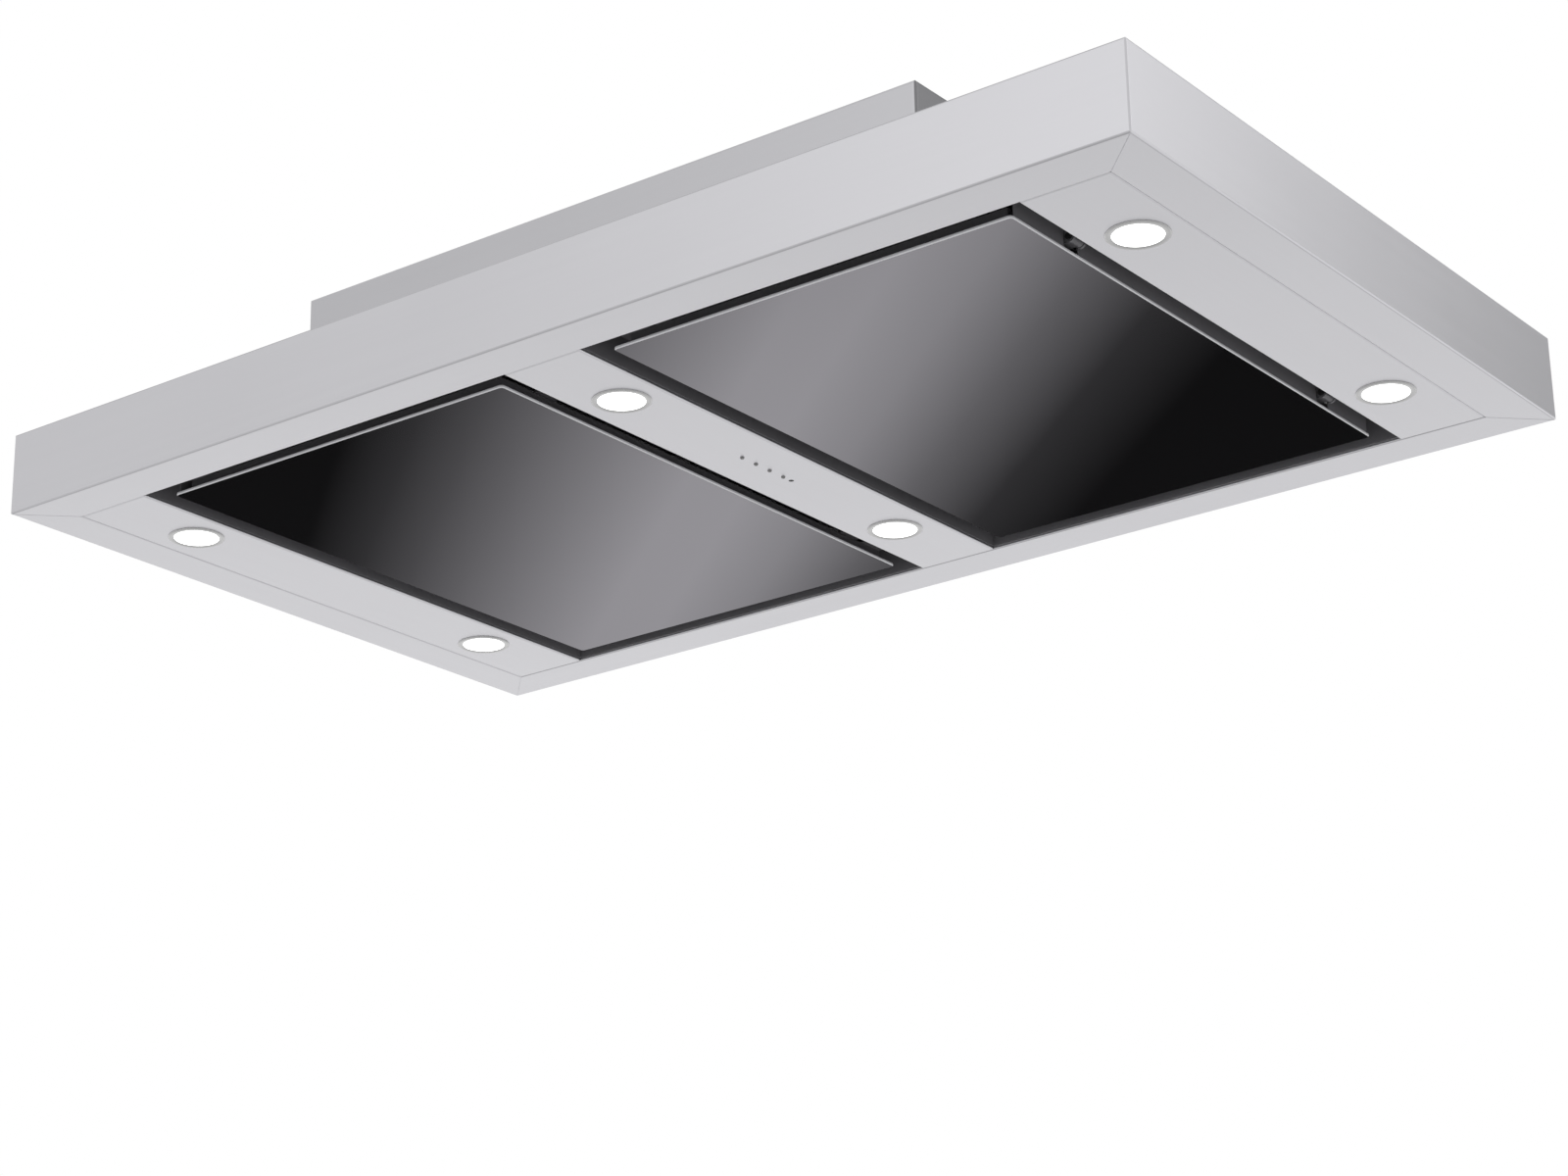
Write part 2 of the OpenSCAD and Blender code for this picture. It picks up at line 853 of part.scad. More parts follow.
module control_housing() {
    in_w = control_board_w + 2 * control_clear;
    in_l = control_board_l + 2 * control_clear;
    board_top = control_board_h + control_board_t;
    out_h = board_top + control_h + control_wall;
    color(plastic_colour) from_underside() translate([0, control_y, 0]) {
        translate([0, 0, sheet])
            ring_wall(in_w + 2 * control_wall, in_l + 2 * control_wall, out_h - sheet, control_wall);
        translate([0, 0, out_h - control_wall])
            block(in_w + 2 * control_wall, in_l + 2 * control_wall, control_wall);
        for (x = [-1, 1] * (in_w / 2 - 2 * post_r), y = [-1, 1] * (in_l / 2 - 2 * post_r))
            translate([x, y, board_top]) cylinder(h = control_h, r = post_r);
    }
}

// Electrical cases

// A case that hangs from the roof, open below, and its lid
module case_shell(x) {
    color(zinc_colour) from_underside() translate([x, 0, roof_h - sheet - case_h]) difference() {
        block(case_w, case_l, case_h);
        translate([0, 0, -over]) block(case_w - 2 * case_t, case_l - 2 * case_t, case_h - case_t + over);
    }
}

module case_lid(x) {
    color(zinc_colour) from_underside() translate([x, 0, roof_h - sheet - case_h - case_lid_t])
        block(case_w, case_l, case_lid_t);
}

module driver_case() {
    case_shell(-outer_lamp_x);
}

module driver_lid() {
    case_lid(-outer_lamp_x);
}

module power_case() {
    case_shell(outer_lamp_x);
}

module power_lid() {
    case_lid(outer_lamp_x);
}

module terminal_box() {
    color(plastic_colour) translate([terminal_x, 0, -sheet - terminal_h]) difference() {
        block(terminal_w, terminal_l, terminal_h);
        translate([0, 0, -over]) block(
            terminal_w - 2 * terminal_wall, terminal_l - 2 * terminal_wall, terminal_h - terminal_wall + over);
        cylinder(h = terminal_h + over, r = grommet_r);
    }
}

module terminal_lid() {
    color(plastic_colour) translate([terminal_x, 0, -sheet - terminal_h - terminal_lid_t])
        block(terminal_w, terminal_l, terminal_lid_t);
}

module terminal_block() {
    row = terminal_ways * way_w;
    color(white_colour) translate([terminal_x, -row / 2, -sheet - terminal_h]) difference() {
        translate([-way_l / 2, 0, 0]) cube([way_l, row, way_h]);
        for (i = [0:terminal_ways - 1]) translate([0, (i + 0.5) * way_w, way_h / 2]) rotate([0, 90, 0])
            cylinder(h = 2 * way_l, r = way_bore_r, center = true);
    }
}

// The grommet lines the hole for the mains cable
module cable_grommet() {
    wall_t = terminal_wall + sheet;
    color(black_colour) translate([terminal_x, 0, 0]) rotate_extrude() polygon([
        [grommet_bore_r, 0], [grommet_r, 0], [grommet_r, -wall_t], [grommet_r + grommet_lip, -wall_t],
        [grommet_r + grommet_lip, -wall_t - grommet_t], [grommet_bore_r, -wall_t - grommet_t]
    ]);
}

// Plinth

module plinth_screw_places() {
    inset = foot_flange_w / 2;
    for (x = [-1, 0, 1] * (plinth_w / 2 - inset), y = [-1, 1] * (plinth_d / 2 - inset))
        translate([x, y, 0]) children();
}

module bolt_places() {
    for (x = [-1, 1] * bolt_x / 2, y = [-1, 1] * bolt_y / 2) translate([x, y, 0]) children();
}

module plinth() {
    shell_h = plinth_h + sheet;
    color(steel_colour) translate([0, 0, -shell_h]) difference() {
        rounded_block(plinth_w, plinth_d, shell_h, plinth_r);
        translate([0, 0, sheet])
            rounded_block(plinth_w - 2 * sheet, plinth_d - 2 * sheet, shell_h - 2 * sheet, plinth_r - sheet);
        translate([0, 0, -over])
            block(plinth_w - 2 * foot_flange_w, plinth_d - 2 * foot_flange_w, sheet + 2 * over);
        translate([0, 0, shell_h - sheet - over]) {
            cylinder(h = sheet + 2 * over, r = collar_r + collar_bead_w + collar_gap, $fn = 96);
            translate([terminal_x, 0, 0]) cylinder(h = sheet + 2 * over, r = grommet_r);
            bolt_places() cylinder(h = sheet + 2 * over, r = bolt_r);
            collar_screw_places() cylinder(h = sheet + 2 * over, r = screw_r);
        }
        plinth_screw_places() translate([0, 0, -over]) cylinder(h = sheet + 2 * over, r = screw_r);
    }
}

module plinth_screws() {
    color(zinc_colour) from_underside() plinth_screw_places()
        translate([0, 0, roof_h + sheet]) screw(2 * sheet + screw_tail);
}

// Two channels under the top of the plinth take the weight at the ceiling bolts
module mounting_rails() {
    rail_l = bolt_x + 2 * rail_over;
    color(zinc_colour) for (y = [-1, 1] * bolt_y / 2) translate([0, y, -sheet - rail_h]) difference() {
        block(rail_l, rail_w, rail_h);
        translate([0, 0, -over]) block(rail_l + 2 * over, rail_w - 2 * rail_t, rail_h - rail_t + over);
        for (x = [-1, 1] * bolt_x / 2) translate([x, 0, 0]) cylinder(h = rail_h + over, r = bolt_r);
    }
}

// Outlet collar and damper

module collar_screw_places() {
    for (i = [0:5]) rotate([0, 0, 60 * i]) translate([collar_r + collar_flange_w / 2, 0, 0]) children();
}

module outlet_collar() {
    bore = collar_r - collar_wall;
    seat_z = damper_z - flap_t / 2 - run_clear;
    color(zinc_colour) difference() {
        union() {
            translate([0, 0, -collar_in]) cylinder(h = collar_in + collar_out, r = collar_r, $fn = 96);
            // The bead at its foot fills the hole in the plinth and stops the duct above it
            translate([0, 0, -sheet])
                cylinder(h = sheet + collar_stop_h, r = collar_r + collar_bead_w, $fn = 96);
            translate([0, 0, -sheet - collar_flange_t])
                cylinder(h = collar_flange_t, r = collar_r + collar_flange_w, $fn = 96);
        }
        translate([0, 0, seat_z]) cylinder(h = collar_out - seat_z + over, r = bore, $fn = 96);
        translate([0, 0, -collar_in - over])
            cylinder(h = collar_in + 2 * over, r = bore - collar_seat, $fn = 96);
        translate([0, 0, -collar_in - over])
            cylinder(h = collar_in + seat_z - collar_wall + over, r = bore, $fn = 96);
        translate([0, 0, damper_z]) rod(pin_r + pin_clear, 2 * collar_r + 2 * over);
        collar_screw_places() translate([0, 0, -sheet - collar_flange_t - over])
            cylinder(h = collar_flange_t + 2 * over, r = screw_r);
    }
}

module damper_pin() {
    color(steel_colour) translate([0, 0, damper_z]) rod(pin_r, 2 * collar_r);
}

// A half-round flap with two knuckles, drawn for the side of positive x
module damper_flap() {
    flap_r = collar_r - collar_wall - flap_clear;
    first = knuckle_gap / 2;
    second = -knuckle_gap / 2 - 2 * knuckle_l - knuckle_gap / 2;
    translate([0, 0, damper_z]) difference() {
        union() {
            intersection() {
                translate([0, 0, -flap_t / 2]) cylinder(h = flap_t, r = flap_r, $fn = 96);
                translate([damper_edge, -flap_r, -flap_t]) cube([flap_r, 2 * flap_r, 2 * flap_t]);
            }
            for (y = [first, second]) {
                translate([0, y + knuckle_l / 2, 0]) rod(knuckle_r, knuckle_l);
                translate([0, y, -flap_t / 2]) cube([2 * damper_edge, knuckle_l, flap_t]);
            }
        }
        rod(pin_r + pin_clear, 2 * collar_r);
    }
}

module right_damper_flap() {
    color(aluminium_colour) damper_flap();
}

module left_damper_flap() {
    color(aluminium_colour) rotate([0, 0, 180]) damper_flap();
}

module collar_screws() {
    color(zinc_colour) collar_screw_places()
        translate([0, 0, -sheet - collar_flange_t]) mirror([0, 0, 1]) screw(collar_flange_t + sheet);
}

// Cables inside the body, held up against the roof panel

// From the driver case to the six lamps
module lamp_cable() {
    run_h = roof_h - sheet - cable_r;
    run_y = roof_edge_y + cable_pitch / 2;
    lamp_top = ring_tube_h + sink_h;
    color(cable_colour) from_underside() for (y = [-1, 1]) {
        cable([
            [-outer_lamp_x, y * case_l / 2, run_h], [-outer_lamp_x, y * run_y, run_h],
            [outer_lamp_x, y * run_y, run_h], [outer_lamp_x, y * lamp_y, run_h]
        ], cable_r);
        translate([outer_lamp_x, y * lamp_y, run_h]) sphere(cable_r);
        cable([[0, y * run_y, run_h], [0, y * lamp_y, run_h], [0, y * lamp_y, lamp_top]], lead_r);
        for (x = [-outer_lamp_x, outer_lamp_x])
            bar([x, y * lamp_y, run_h], [x, y * lamp_y, lamp_top], lead_r);
    }
}

// From the power case to the driver case
module supply_cable() {
    run_h = roof_h - sheet - cable_r;
    run_x = outer_lamp_x + cable_pitch;
    run_y = roof_edge_y + 1.5 * cable_pitch;
    color(cable_colour) from_underside() cable([
        [-run_x, case_l / 2, run_h], [-run_x, run_y, run_h], [run_x, run_y, run_h],
        [run_x, case_l / 2, run_h]
    ], cable_r);
}

// From the power case to the controls, down beside a lamp and along the centre strip
module control_cable() {
    run_h = roof_h - sheet - cable_r;
    run_y = -roof_edge_y - 1.5 * cable_pitch;
    run_x = centre_strip_w / 2 - seam - 2 * sheet - cable_r;
    housing_x = control_board_w / 2 + control_clear + control_wall;
    strip_h = sheet + cable_r;
    color(cable_colour) from_underside() cable([
        [outer_lamp_x + cable_pitch, -case_l / 2, run_h], [outer_lamp_x + cable_pitch, run_y, run_h],
        [run_x, run_y, run_h], [run_x, run_y, strip_h], [run_x, 0, strip_h], [housing_x, 0, strip_h]
    ], cable_r);
}

// From the terminal box down through the plinth to the power case
module mains_cable() {
    entry_z = -sheet - terminal_h / 2;
    run_z = under_z + roof_h - sheet - mains_cable_r;
    run_y = case_l / 4;
    drop_x = plinth_w / 2 - foot_flange_w - cable_pitch;
    color(black_colour) cable([
        [terminal_x + terminal_w / 2, run_y, entry_z], [drop_x, run_y, entry_z], [drop_x, run_y, run_z],
        [outer_lamp_x - case_w / 2, run_y, run_z]
    ], mains_cable_r);
}

casing();
roof_panel();
plinth();
left_strip();
centre_strip();
right_strip();
left_inlet_tray();
right_inlet_tray();
left_glass();
right_glass();
left_glass_carrier();
right_glass_carrier();
left_hinge_brackets();
right_hinge_brackets();
left_hinge_pins();
right_hinge_pins();
left_catch_housings();
right_catch_housings();
left_catch_magnets();
right_catch_magnets();
left_filter_frame();
right_filter_frame();
left_filter_pad();
right_filter_pad();
left_filter_latch();
right_filter_latch();
lamp_rings();
lamp_lenses();
lamp_boards();
lamp_heat_sinks();
lamp_clips();
button_1();
button_2();
button_3();
button_4();
receiver_window();
push_switches();
control_board();
control_housing();
driver_case();
driver_lid();
power_case();
power_lid();
terminal_box();
terminal_lid();
terminal_block();
cable_grommet();
mounting_rails();
outlet_collar();
damper_pin();
left_damper_flap();
right_damper_flap();
roof_screws();
plinth_screws();
tray_screws();
collar_screws();
lamp_cable();
supply_cable();
control_cable();
mains_cable();
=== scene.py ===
# %% [markdown]
# # A ceiling range hood, dressed for its picture
#
# The hood is a flat stainless box that hangs from the ceiling on a smaller plinth. Air rises
# through narrow gaps round two black glass panels. The frame already brings each sheet, hinge
# and screw at its real place and size. This lesson models the pieces that the eye reads first,
# gives every surface its finish, and lights the whole the way a catalogue picture is lit.

# %% Load the frame
import math

import bmesh
import bpy
from mathutils import Matrix, Vector


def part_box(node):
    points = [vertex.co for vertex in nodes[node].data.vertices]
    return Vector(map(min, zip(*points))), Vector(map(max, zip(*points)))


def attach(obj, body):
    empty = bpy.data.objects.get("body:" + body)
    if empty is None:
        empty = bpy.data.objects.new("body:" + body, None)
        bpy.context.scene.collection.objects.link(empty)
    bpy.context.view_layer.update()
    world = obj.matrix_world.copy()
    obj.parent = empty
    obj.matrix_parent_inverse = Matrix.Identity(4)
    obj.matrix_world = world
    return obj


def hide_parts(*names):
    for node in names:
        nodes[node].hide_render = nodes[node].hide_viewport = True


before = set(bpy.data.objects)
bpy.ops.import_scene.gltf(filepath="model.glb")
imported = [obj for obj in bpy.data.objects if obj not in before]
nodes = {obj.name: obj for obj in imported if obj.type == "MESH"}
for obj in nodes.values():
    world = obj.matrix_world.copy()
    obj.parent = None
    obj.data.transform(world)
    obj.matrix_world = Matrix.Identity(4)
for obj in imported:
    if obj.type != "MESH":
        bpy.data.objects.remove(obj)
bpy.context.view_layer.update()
MM = 0.001

# %% [markdown]
# ## The camera
#
# The picture looks up at the underside from the front right, as a person does who stands near
# the cooker. A camera could be aimed with a constraint at a target, but then its roll is lost.
# Here it is turned by three plain angles, which were solved from the corners of the body.

# %% Camera
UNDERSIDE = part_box("casing")[0].z
CAMERA_AT = Vector((1.75394, -2.31949, UNDERSIDE - 1.16228))
CAMERA_AZIMUTH = 36.799
CAMERA_TILT = 19.828
CAMERA_ROLL = -1.0503
CAMERA_LENS = 80.590


def turned(degrees, axis):
    """A rotation about one axis, as a matrix."""
    return Matrix.Rotation(math.radians(degrees), 4, axis)


bpy.ops.object.select_all(action="DESELECT")
bpy.ops.object.camera_add()
camera = bpy.context.object
camera.matrix_world = (
    Matrix.Translation(CAMERA_AT)
    @ turned(CAMERA_AZIMUTH, "Z")
    @ turned(90 + CAMERA_TILT, "X")
    @ turned(CAMERA_ROLL, "Z")
)
camera.data.lens = CAMERA_LENS
camera.data.clip_start = 0.05
bpy.context.scene.camera = camera
bpy.context.scene.view_settings.view_transform = "Standard"
print("camera at", tuple(round(v, 3) for v in CAMERA_AT))

# %% [markdown]
# ## Shader sums
#
# A finish is a small sum over a surface: some grain, some cloud, a mask. Wiring it node by node
# hides the sum, so one class here wraps a socket and lets Python's own operators add the Math
# nodes. Every other node comes from a single method that takes its type, settings and inputs.

# %% Shader sums
class Shade:
    """A shader value that takes part in Python sums."""

    def __init__(self, finish, socket):
        self.finish = finish
        self.socket = socket

    def math(self, operation, *values, clamp=False):
        settings = {"operation": operation, "use_clamp": clamp}
        inputs = dict(enumerate(values))
        return self.finish.node("Math", "Value", settings, inputs)

    def __add__(self, other):
        return self.math("ADD", self, other)

    def __sub__(self, other):
        return self.math("SUBTRACT", self, other)

    def __rsub__(self, other):
        return self.math("SUBTRACT", other, self)

    def __mul__(self, other):
        return self.math("MULTIPLY", self, other)

    def __truediv__(self, other):
        return self.math("DIVIDE", self, other)

    def __gt__(self, other):
        return self.math("GREATER_THAN", self, other)

    def __lt__(self, other):
        return self.math("LESS_THAN", self, other)

    def __abs__(self):
        return self.math("ABSOLUTE", self)

    def clamped(self):
        return self.math("ADD", self, 0, clamp=True)

    def fraction(self):
        return self.math("FRACT", self)

    __radd__ = __add__
    __rmul__ = __mul__


class Finish:
    """A node tree that is written as sums."""

    def __init__(self, owner):
        owner.use_nodes = True
        self.owner = owner
        self.tree = owner.node_tree
        self.tree.nodes.clear()

    def node(self, kind, out, settings=(), inputs=()):
        """Adds one node: its settings are set first, then the values or links of its sockets."""
        made = self.tree.nodes.new("ShaderNode" + kind)
        for name, value in dict(settings).items():
            if name == "stops":
                self.set_stops(made.color_ramp, value)
            else:
                setattr(made, name, value)
        for name, value in dict(inputs).items():
            if isinstance(value, Shade):
                self.tree.links.new(value.socket, made.inputs[name])
            else:
                made.inputs[name].default_value = value
        return Shade(self, made.outputs[out])

    @staticmethod
    def set_stops(ramp, stops):
        while len(ramp.elements) < len(stops):
            ramp.elements.new(1)
        for element, (position, level) in zip(ramp.elements, stops):
            element.position = position
            element.color = (level, level, level, 1)

    def place(self):
        """The point of the surface in the hood's own frame, as a vector."""
        return self.node("TexCoord", "Object")

    def parts(self, vector):
        """The three numbers of a vector."""
        first = self.node("SeparateXYZ", "X", (), {0: vector})
        source = first.socket.node
        return first, Shade(self, source.outputs["Y"]), Shade(self, source.outputs["Z"])

    def joined(self, x, y, z):
        return self.node("CombineXYZ", "Vector", (), {0: x, 1: y, 2: z})

    def noise(self, vector, scale, detail=2.0, rough=0.5):
        inputs = {"Vector": vector, "Scale": scale, "Detail": detail, "Roughness": rough}
        return self.node("TexNoise", "Fac", (), inputs)

    def blend(self, factor, first, second):
        """A colour between two others."""
        inputs = {0: factor, 6: first, 7: second}
        return self.node("Mix", 2, {"data_type": "RGBA"}, inputs)

    def bump(self, height, depth, strength=1.0):
        """A normal from a height in 0 to 1, where 1 stands depth metres out."""
        inputs = {"Strength": strength, "Distance": depth, "Height": height}
        return self.node("Bump", "Normal", (), inputs)

    def surface(self, **inputs):
        """Ends a material in one Principled shader. A name's underscores stand for spaces."""
        inputs = {name.replace("_", " "): value for name, value in inputs.items()}
        shader = self.node("BsdfPrincipled", "BSDF", (), inputs)
        self.node_out(shader)
        return self.owner

    def node_out(self, shader):
        out = self.tree.nodes.new("ShaderNodeOutputMaterial")
        self.tree.links.new(shader.socket, out.inputs["Surface"])


def finish(name):
    return Finish(bpy.data.materials.new(name))


def grey(value, warm=0.0):
    """A colour near grey; warm moves it from blue towards red."""
    return (value * (1 + warm), value, value * (1 - warm), 1)


# %% [markdown]
# ## Brushed stainless steel
#
# The sheet is brushed along the length of each fold, so the grain turns a corner at every
# mitre. An image of brushed steel would slide and repeat; noise on the hood's own coordinates,
# squeezed across the grain and drawn out along it, doesn't. Two masks pick the direction: what
# faces up or down, and what belongs to a short side.
#
# The edges that are turned up into the gaps are sprayed black with the trays. A second mask
# gives them that coat: it is whatever lies inside the rims and above the outer face. The
# plinth's short sides and the bends of the casing get painted shade: their colour is mixed
# towards black, as brushed steel darkens where it turns away from the light.

# %% Brushed stainless steel
STEEL_DARK = (0.622, 0.618, 0.644, 1)
STEEL_PALE = (0.674, 0.670, 0.694, 1)
STEEL_ROUGH = 0.37
GRAIN_FINE = 1400
GRAIN_ALONG = 6
BRUSH_DEPTH = 0.00002
COAT_COLOUR = (0.12, 0.118, 0.126, 1)
COAT_ROUGH = 0.45
PAINT_EDGE = 1.7 * MM
field_low = Vector((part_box("left_strip")[0].x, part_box("left_strip")[0].y))
print("opening field starts at", [round(v / MM) for v in field_low], "mm")


def grain_vector(tone, along, across):
    """Coordinates that are long along the grain and short across it."""
    return tone.joined(along * GRAIN_ALONG, across * GRAIN_FINE, 0)


def brushed_steel(name, corner=None, level=1.0, painted_fold_shade=0.0, painted_short_shade=0.0):
    """Stainless sheet. corner is how much longer a rimmed sheet is than it is wide, halved."""
    tone = finish(name)
    place = tone.place()
    x, y, z = tone.parts(place)
    nx, ny, nz = tone.parts(tone.node("TexCoord", "Normal"))
    flat = abs(nz) > 0.5
    if corner is None:
        along_flat, across_flat = y, x
    else:
        short = (abs(x) - abs(y)) > corner
        along_flat = x + (y - x) * short
        across_flat = y + (x - y) * short
    sideways = abs(nx) > 0.5
    along_side = x + (y - x) * sideways
    along = along_side + (along_flat - along_side) * flat
    across = z + (across_flat - z) * flat
    hair = tone.noise(grain_vector(tone, along, across), 1, 3)
    streak = tone.noise(grain_vector(tone, along * 0.5, across * 0.12), 1, 2)
    cloud = tone.noise(place, 5, 3)
    grain = hair * 0.6 + streak * 0.4
    dark, pale = [tuple(v * level for v in colour[:3]) + (1,) for colour in (STEEL_DARK, STEEL_PALE)]
    steel = tone.blend(cloud * 0.5 + streak * 0.4 + 0.05, dark, pale)
    # Painted shade: the casing's bends and the plinth's short sides are mixed towards black.
    fold = (abs(nz) > 0.2) * (abs(nz) < 0.96) * (1 - sideways)
    painted_shade = fold * painted_fold_shade + sideways * painted_short_shade
    steel = tone.blend(painted_shade, steel, (0, 0, 0, 1))
    steel_shine = STEEL_ROUGH + (grain - 0.5) * 0.16 + (cloud - 0.5) * 0.08
    inside = (abs(x) < -field_low.x) * (abs(y) < -field_low.y)
    painted = inside * (z > UNDERSIDE + PAINT_EDGE) * (z < UNDERSIDE + body_depth)
    peel = tone.noise(place, 900, 2)
    return tone.surface(
        Base_Color=tone.blend(painted, steel, COAT_COLOUR),
        Metallic=1 - painted,
        Roughness=steel_shine + (COAT_ROUGH - steel_shine) * painted,
        Normal=tone.bump(grain + (peel - grain) * painted, BRUSH_DEPTH, 0.35),
    )


body_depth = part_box("casing")[1].z - UNDERSIDE
half_gap = (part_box("casing")[1].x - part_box("casing")[0].x) / 2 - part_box("casing")[1].y
plinth_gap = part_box("plinth")[1].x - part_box("plinth")[1].y
# The plinth's sheet is set to 0.85 of the casing's tone, and both sheets get painted shade.
steel_of_casing = brushed_steel("stainless_casing", half_gap, painted_fold_shade=0.2)
steel_of_plinth = brushed_steel("stainless_plinth", plinth_gap, level=0.85, painted_short_shade=0.55)
steel_of_strips = brushed_steel("stainless_strip")
print("stainless: mitres start", round(half_gap / MM), "mm from the middle")

# %% [markdown]
# ## Finishes of the hidden steel
#
# Behind the stainless skin the maker saves money: the roof, rails and cases are zinc-plated
# sheet, with the leafy spangle of its crystals, and the trays and glass carriers are powder
# coated black. Voronoi cells give the spangle, and a soft noise the coat's orange peel. The
# angles behind the edge of the glass get the same coat in a paler satin.

# %% Zinc, powder coat and bright steel
def zinc_sheet(name, tint, crystal=130):
    tone = finish(name)
    place = tone.place()
    warp = tone.noise(place, 60, 2)
    x, y, z = tone.parts(place)
    bent = tone.joined(x + warp * 0.006, y + warp * 0.006, z)
    leaf = tone.node("TexVoronoi", "Color", {"feature": "F1"}, {"Vector": bent, "Scale": crystal})
    shade, turn, spare = tone.parts(leaf)
    cloud = tone.noise(place, 9, 3)
    colour = tone.blend(shade * 0.7 + cloud * 0.3, grey(tint * 0.82, -0.01), grey(tint * 1.1, -0.01))
    shine = 0.30 + turn * 0.16 + cloud * 0.06
    return tone.surface(
        Base_Color=colour, Metallic=1.0, Roughness=shine, Normal=tone.bump(shade, 0.00002, 0.25)
    )


def powder_coat(name, level):
    tone = finish(name)
    place = tone.place()
    peel = tone.noise(place, 900, 2)
    dust = tone.noise(place, 14, 4)
    dull = (level * 0.9, level * 0.88, level * 0.94, 1)
    worn = (level * 1.1, level * 1.08, level * 1.15, 1)
    return tone.surface(
        Base_Color=tone.blend(dust, dull, worn), Roughness=COAT_ROUGH + (dust - 0.5) * 0.12,
        Normal=tone.bump(peel, 0.00006, 0.5),
    )


def black_oxide(name):
    """Steel that was blackened in a bath: dark, and a little metallic where it is rubbed."""
    tone = finish(name)
    rub = tone.noise(tone.place(), 350, 3)
    return tone.surface(
        Base_Color=tone.blend(rub, grey(0.03), grey(0.07)), Metallic=0.6, Roughness=0.34 + rub * 0.1,
        Normal=tone.bump(rub, 0.00001, 0.3),
    )


def turned_steel(name, tint=0.62):
    tone = finish(name)
    x, y, z = tone.parts(tone.place())
    ring = tone.noise(tone.joined(x * 30, y * 2600, z * 2600), 1, 2)
    colour = tone.blend(ring, grey(tint * 0.93), grey(tint * 1.07))
    return tone.surface(
        Base_Color=colour, Metallic=1.0, Roughness=0.2 + ring * 0.14,
        Normal=tone.bump(ring, 0.00001, 0.3),
    )


zinc = zinc_sheet("zinc_sheet", 0.58)
zinc_screw = zinc_sheet("zinc_screws", 0.66, crystal=420)
coat = powder_coat("black_coat", 0.14)
coat_satin = powder_coat("black_coat_satin", 0.21)
pin_steel = turned_steel("turned_steel")
pin_black = black_oxide("black_oxide")
chrome_trim = turned_steel("lamp_trim_steel", 0.5)
nickel = turned_steel("nickel", 0.7)
print("hidden steel: spangled zinc, black coat, turned steel")

# %% [markdown]
# ## Aluminium, plastics, rubber and boards
#
# Mill aluminium is paler and softer than steel and shows faint rolling lines. The plastics
# differ less by colour than by how matt their mould left them, so that goes into a roughness
# and a bump of its own scale. The circuit board gets copper tracks under its lacquer.

# %% Aluminium
def mill_aluminium(name, lines=900):
    tone = finish(name)
    place = tone.place()
    x, y, z = tone.parts(place)
    roll = tone.noise(tone.joined(x * lines, y * 8, z * lines), 1, 2)
    cloud = tone.noise(place, 22, 3)
    colour = tone.blend(cloud * 0.6 + roll * 0.4, grey(0.70, -0.005), grey(0.80, -0.005))
    return tone.surface(
        Base_Color=colour, Metallic=1.0, Roughness=0.34 + (roll - 0.5) * 0.2,
        Normal=tone.bump(roll, 0.00002, 0.3),
    )


aluminium = mill_aluminium("mill_aluminium")
print("aluminium with rolling lines")

# %% Plastics, rubber and boards
def moulded(name, low, high, rough, pitch=1800, depth=0.00004, warm=0.0):
    """A moulded surface: fine grain from the tool and a slow drift of its gloss."""
    tone = finish(name)
    place = tone.place()
    grain = tone.noise(place, pitch, 2)
    drift = tone.noise(place, 25, 3)
    return tone.surface(
        Base_Color=tone.blend(drift, grey(low, warm), grey(high, warm)),
        Roughness=rough + (grain - 0.5) * 0.1 + (drift - 0.5) * 0.08,
        Normal=tone.bump(grain, depth, 0.5),
    )


def circuit_board(name):
    tone = finish(name)
    x, y, z = tone.parts(tone.place())
    track = abs((x * 400).fraction() - 0.5) < 0.14
    cross = abs((y * 240).fraction() - 0.5) < 0.10
    patch = tone.noise(tone.place(), 130, 1) > 0.52
    copper = track * patch + cross * (1 - patch)
    colour = tone.blend(copper, (0.018, 0.11, 0.05, 1), (0.06, 0.22, 0.09, 1))
    return tone.surface(Base_Color=colour, Roughness=0.28, Normal=tone.bump(copper, 0.00004, 0.4))


black_plastic = moulded("black_plastic", 0.020, 0.030, 0.5)
button_plastic = moulded("button_plastic", 0.20, 0.25, 0.4, pitch=3000, depth=0.00001)
window_plastic = moulded("window_plastic", 0.010, 0.014, 0.55, pitch=3000, depth=0.000005)
white_plastic = moulded("white_plastic", 0.74, 0.80, 0.45, warm=0.01)
cable_sheath = moulded("cable_sheath", 0.68, 0.76, 0.5, pitch=900, warm=0.008)
black_rubber = moulded("black_rubber", 0.022, 0.034, 0.7, pitch=1200, depth=0.00008)
green_board = circuit_board("circuit_board")
print("plastics, rubber and a board")

# %% [markdown]
# ## Black glass
#
# The panels are clear glass with black paint on the back, so the face is a mirror of the
# studio and the only pale thing is the ground edge, where the glass itself shows. Real glass
# over a black plane gives the same picture for more work; one dark, sharp surface is enough.
# Float glass is never quite flat, so long shallow waves bend its reflection by a hair.

# %% Black glass and its ground edge
def black_glass():
    tone = finish("black_glass")
    place = tone.place()
    x, y, z = tone.parts(place)
    wipe = tone.noise(place, 7, 4)
    waves = tone.noise(tone.joined(x * 9, y * 2.5, 0), 1, 1)
    tint = tone.blend(wipe, (0.0009, 0.0009, 0.0010, 1), (0.0014, 0.0014, 0.0015, 1))
    return tone.surface(
        Base_Color=tint, Roughness=0.0, IOR=1.5, Normal=tone.bump(waves, 0.00004, 1.0)
    )


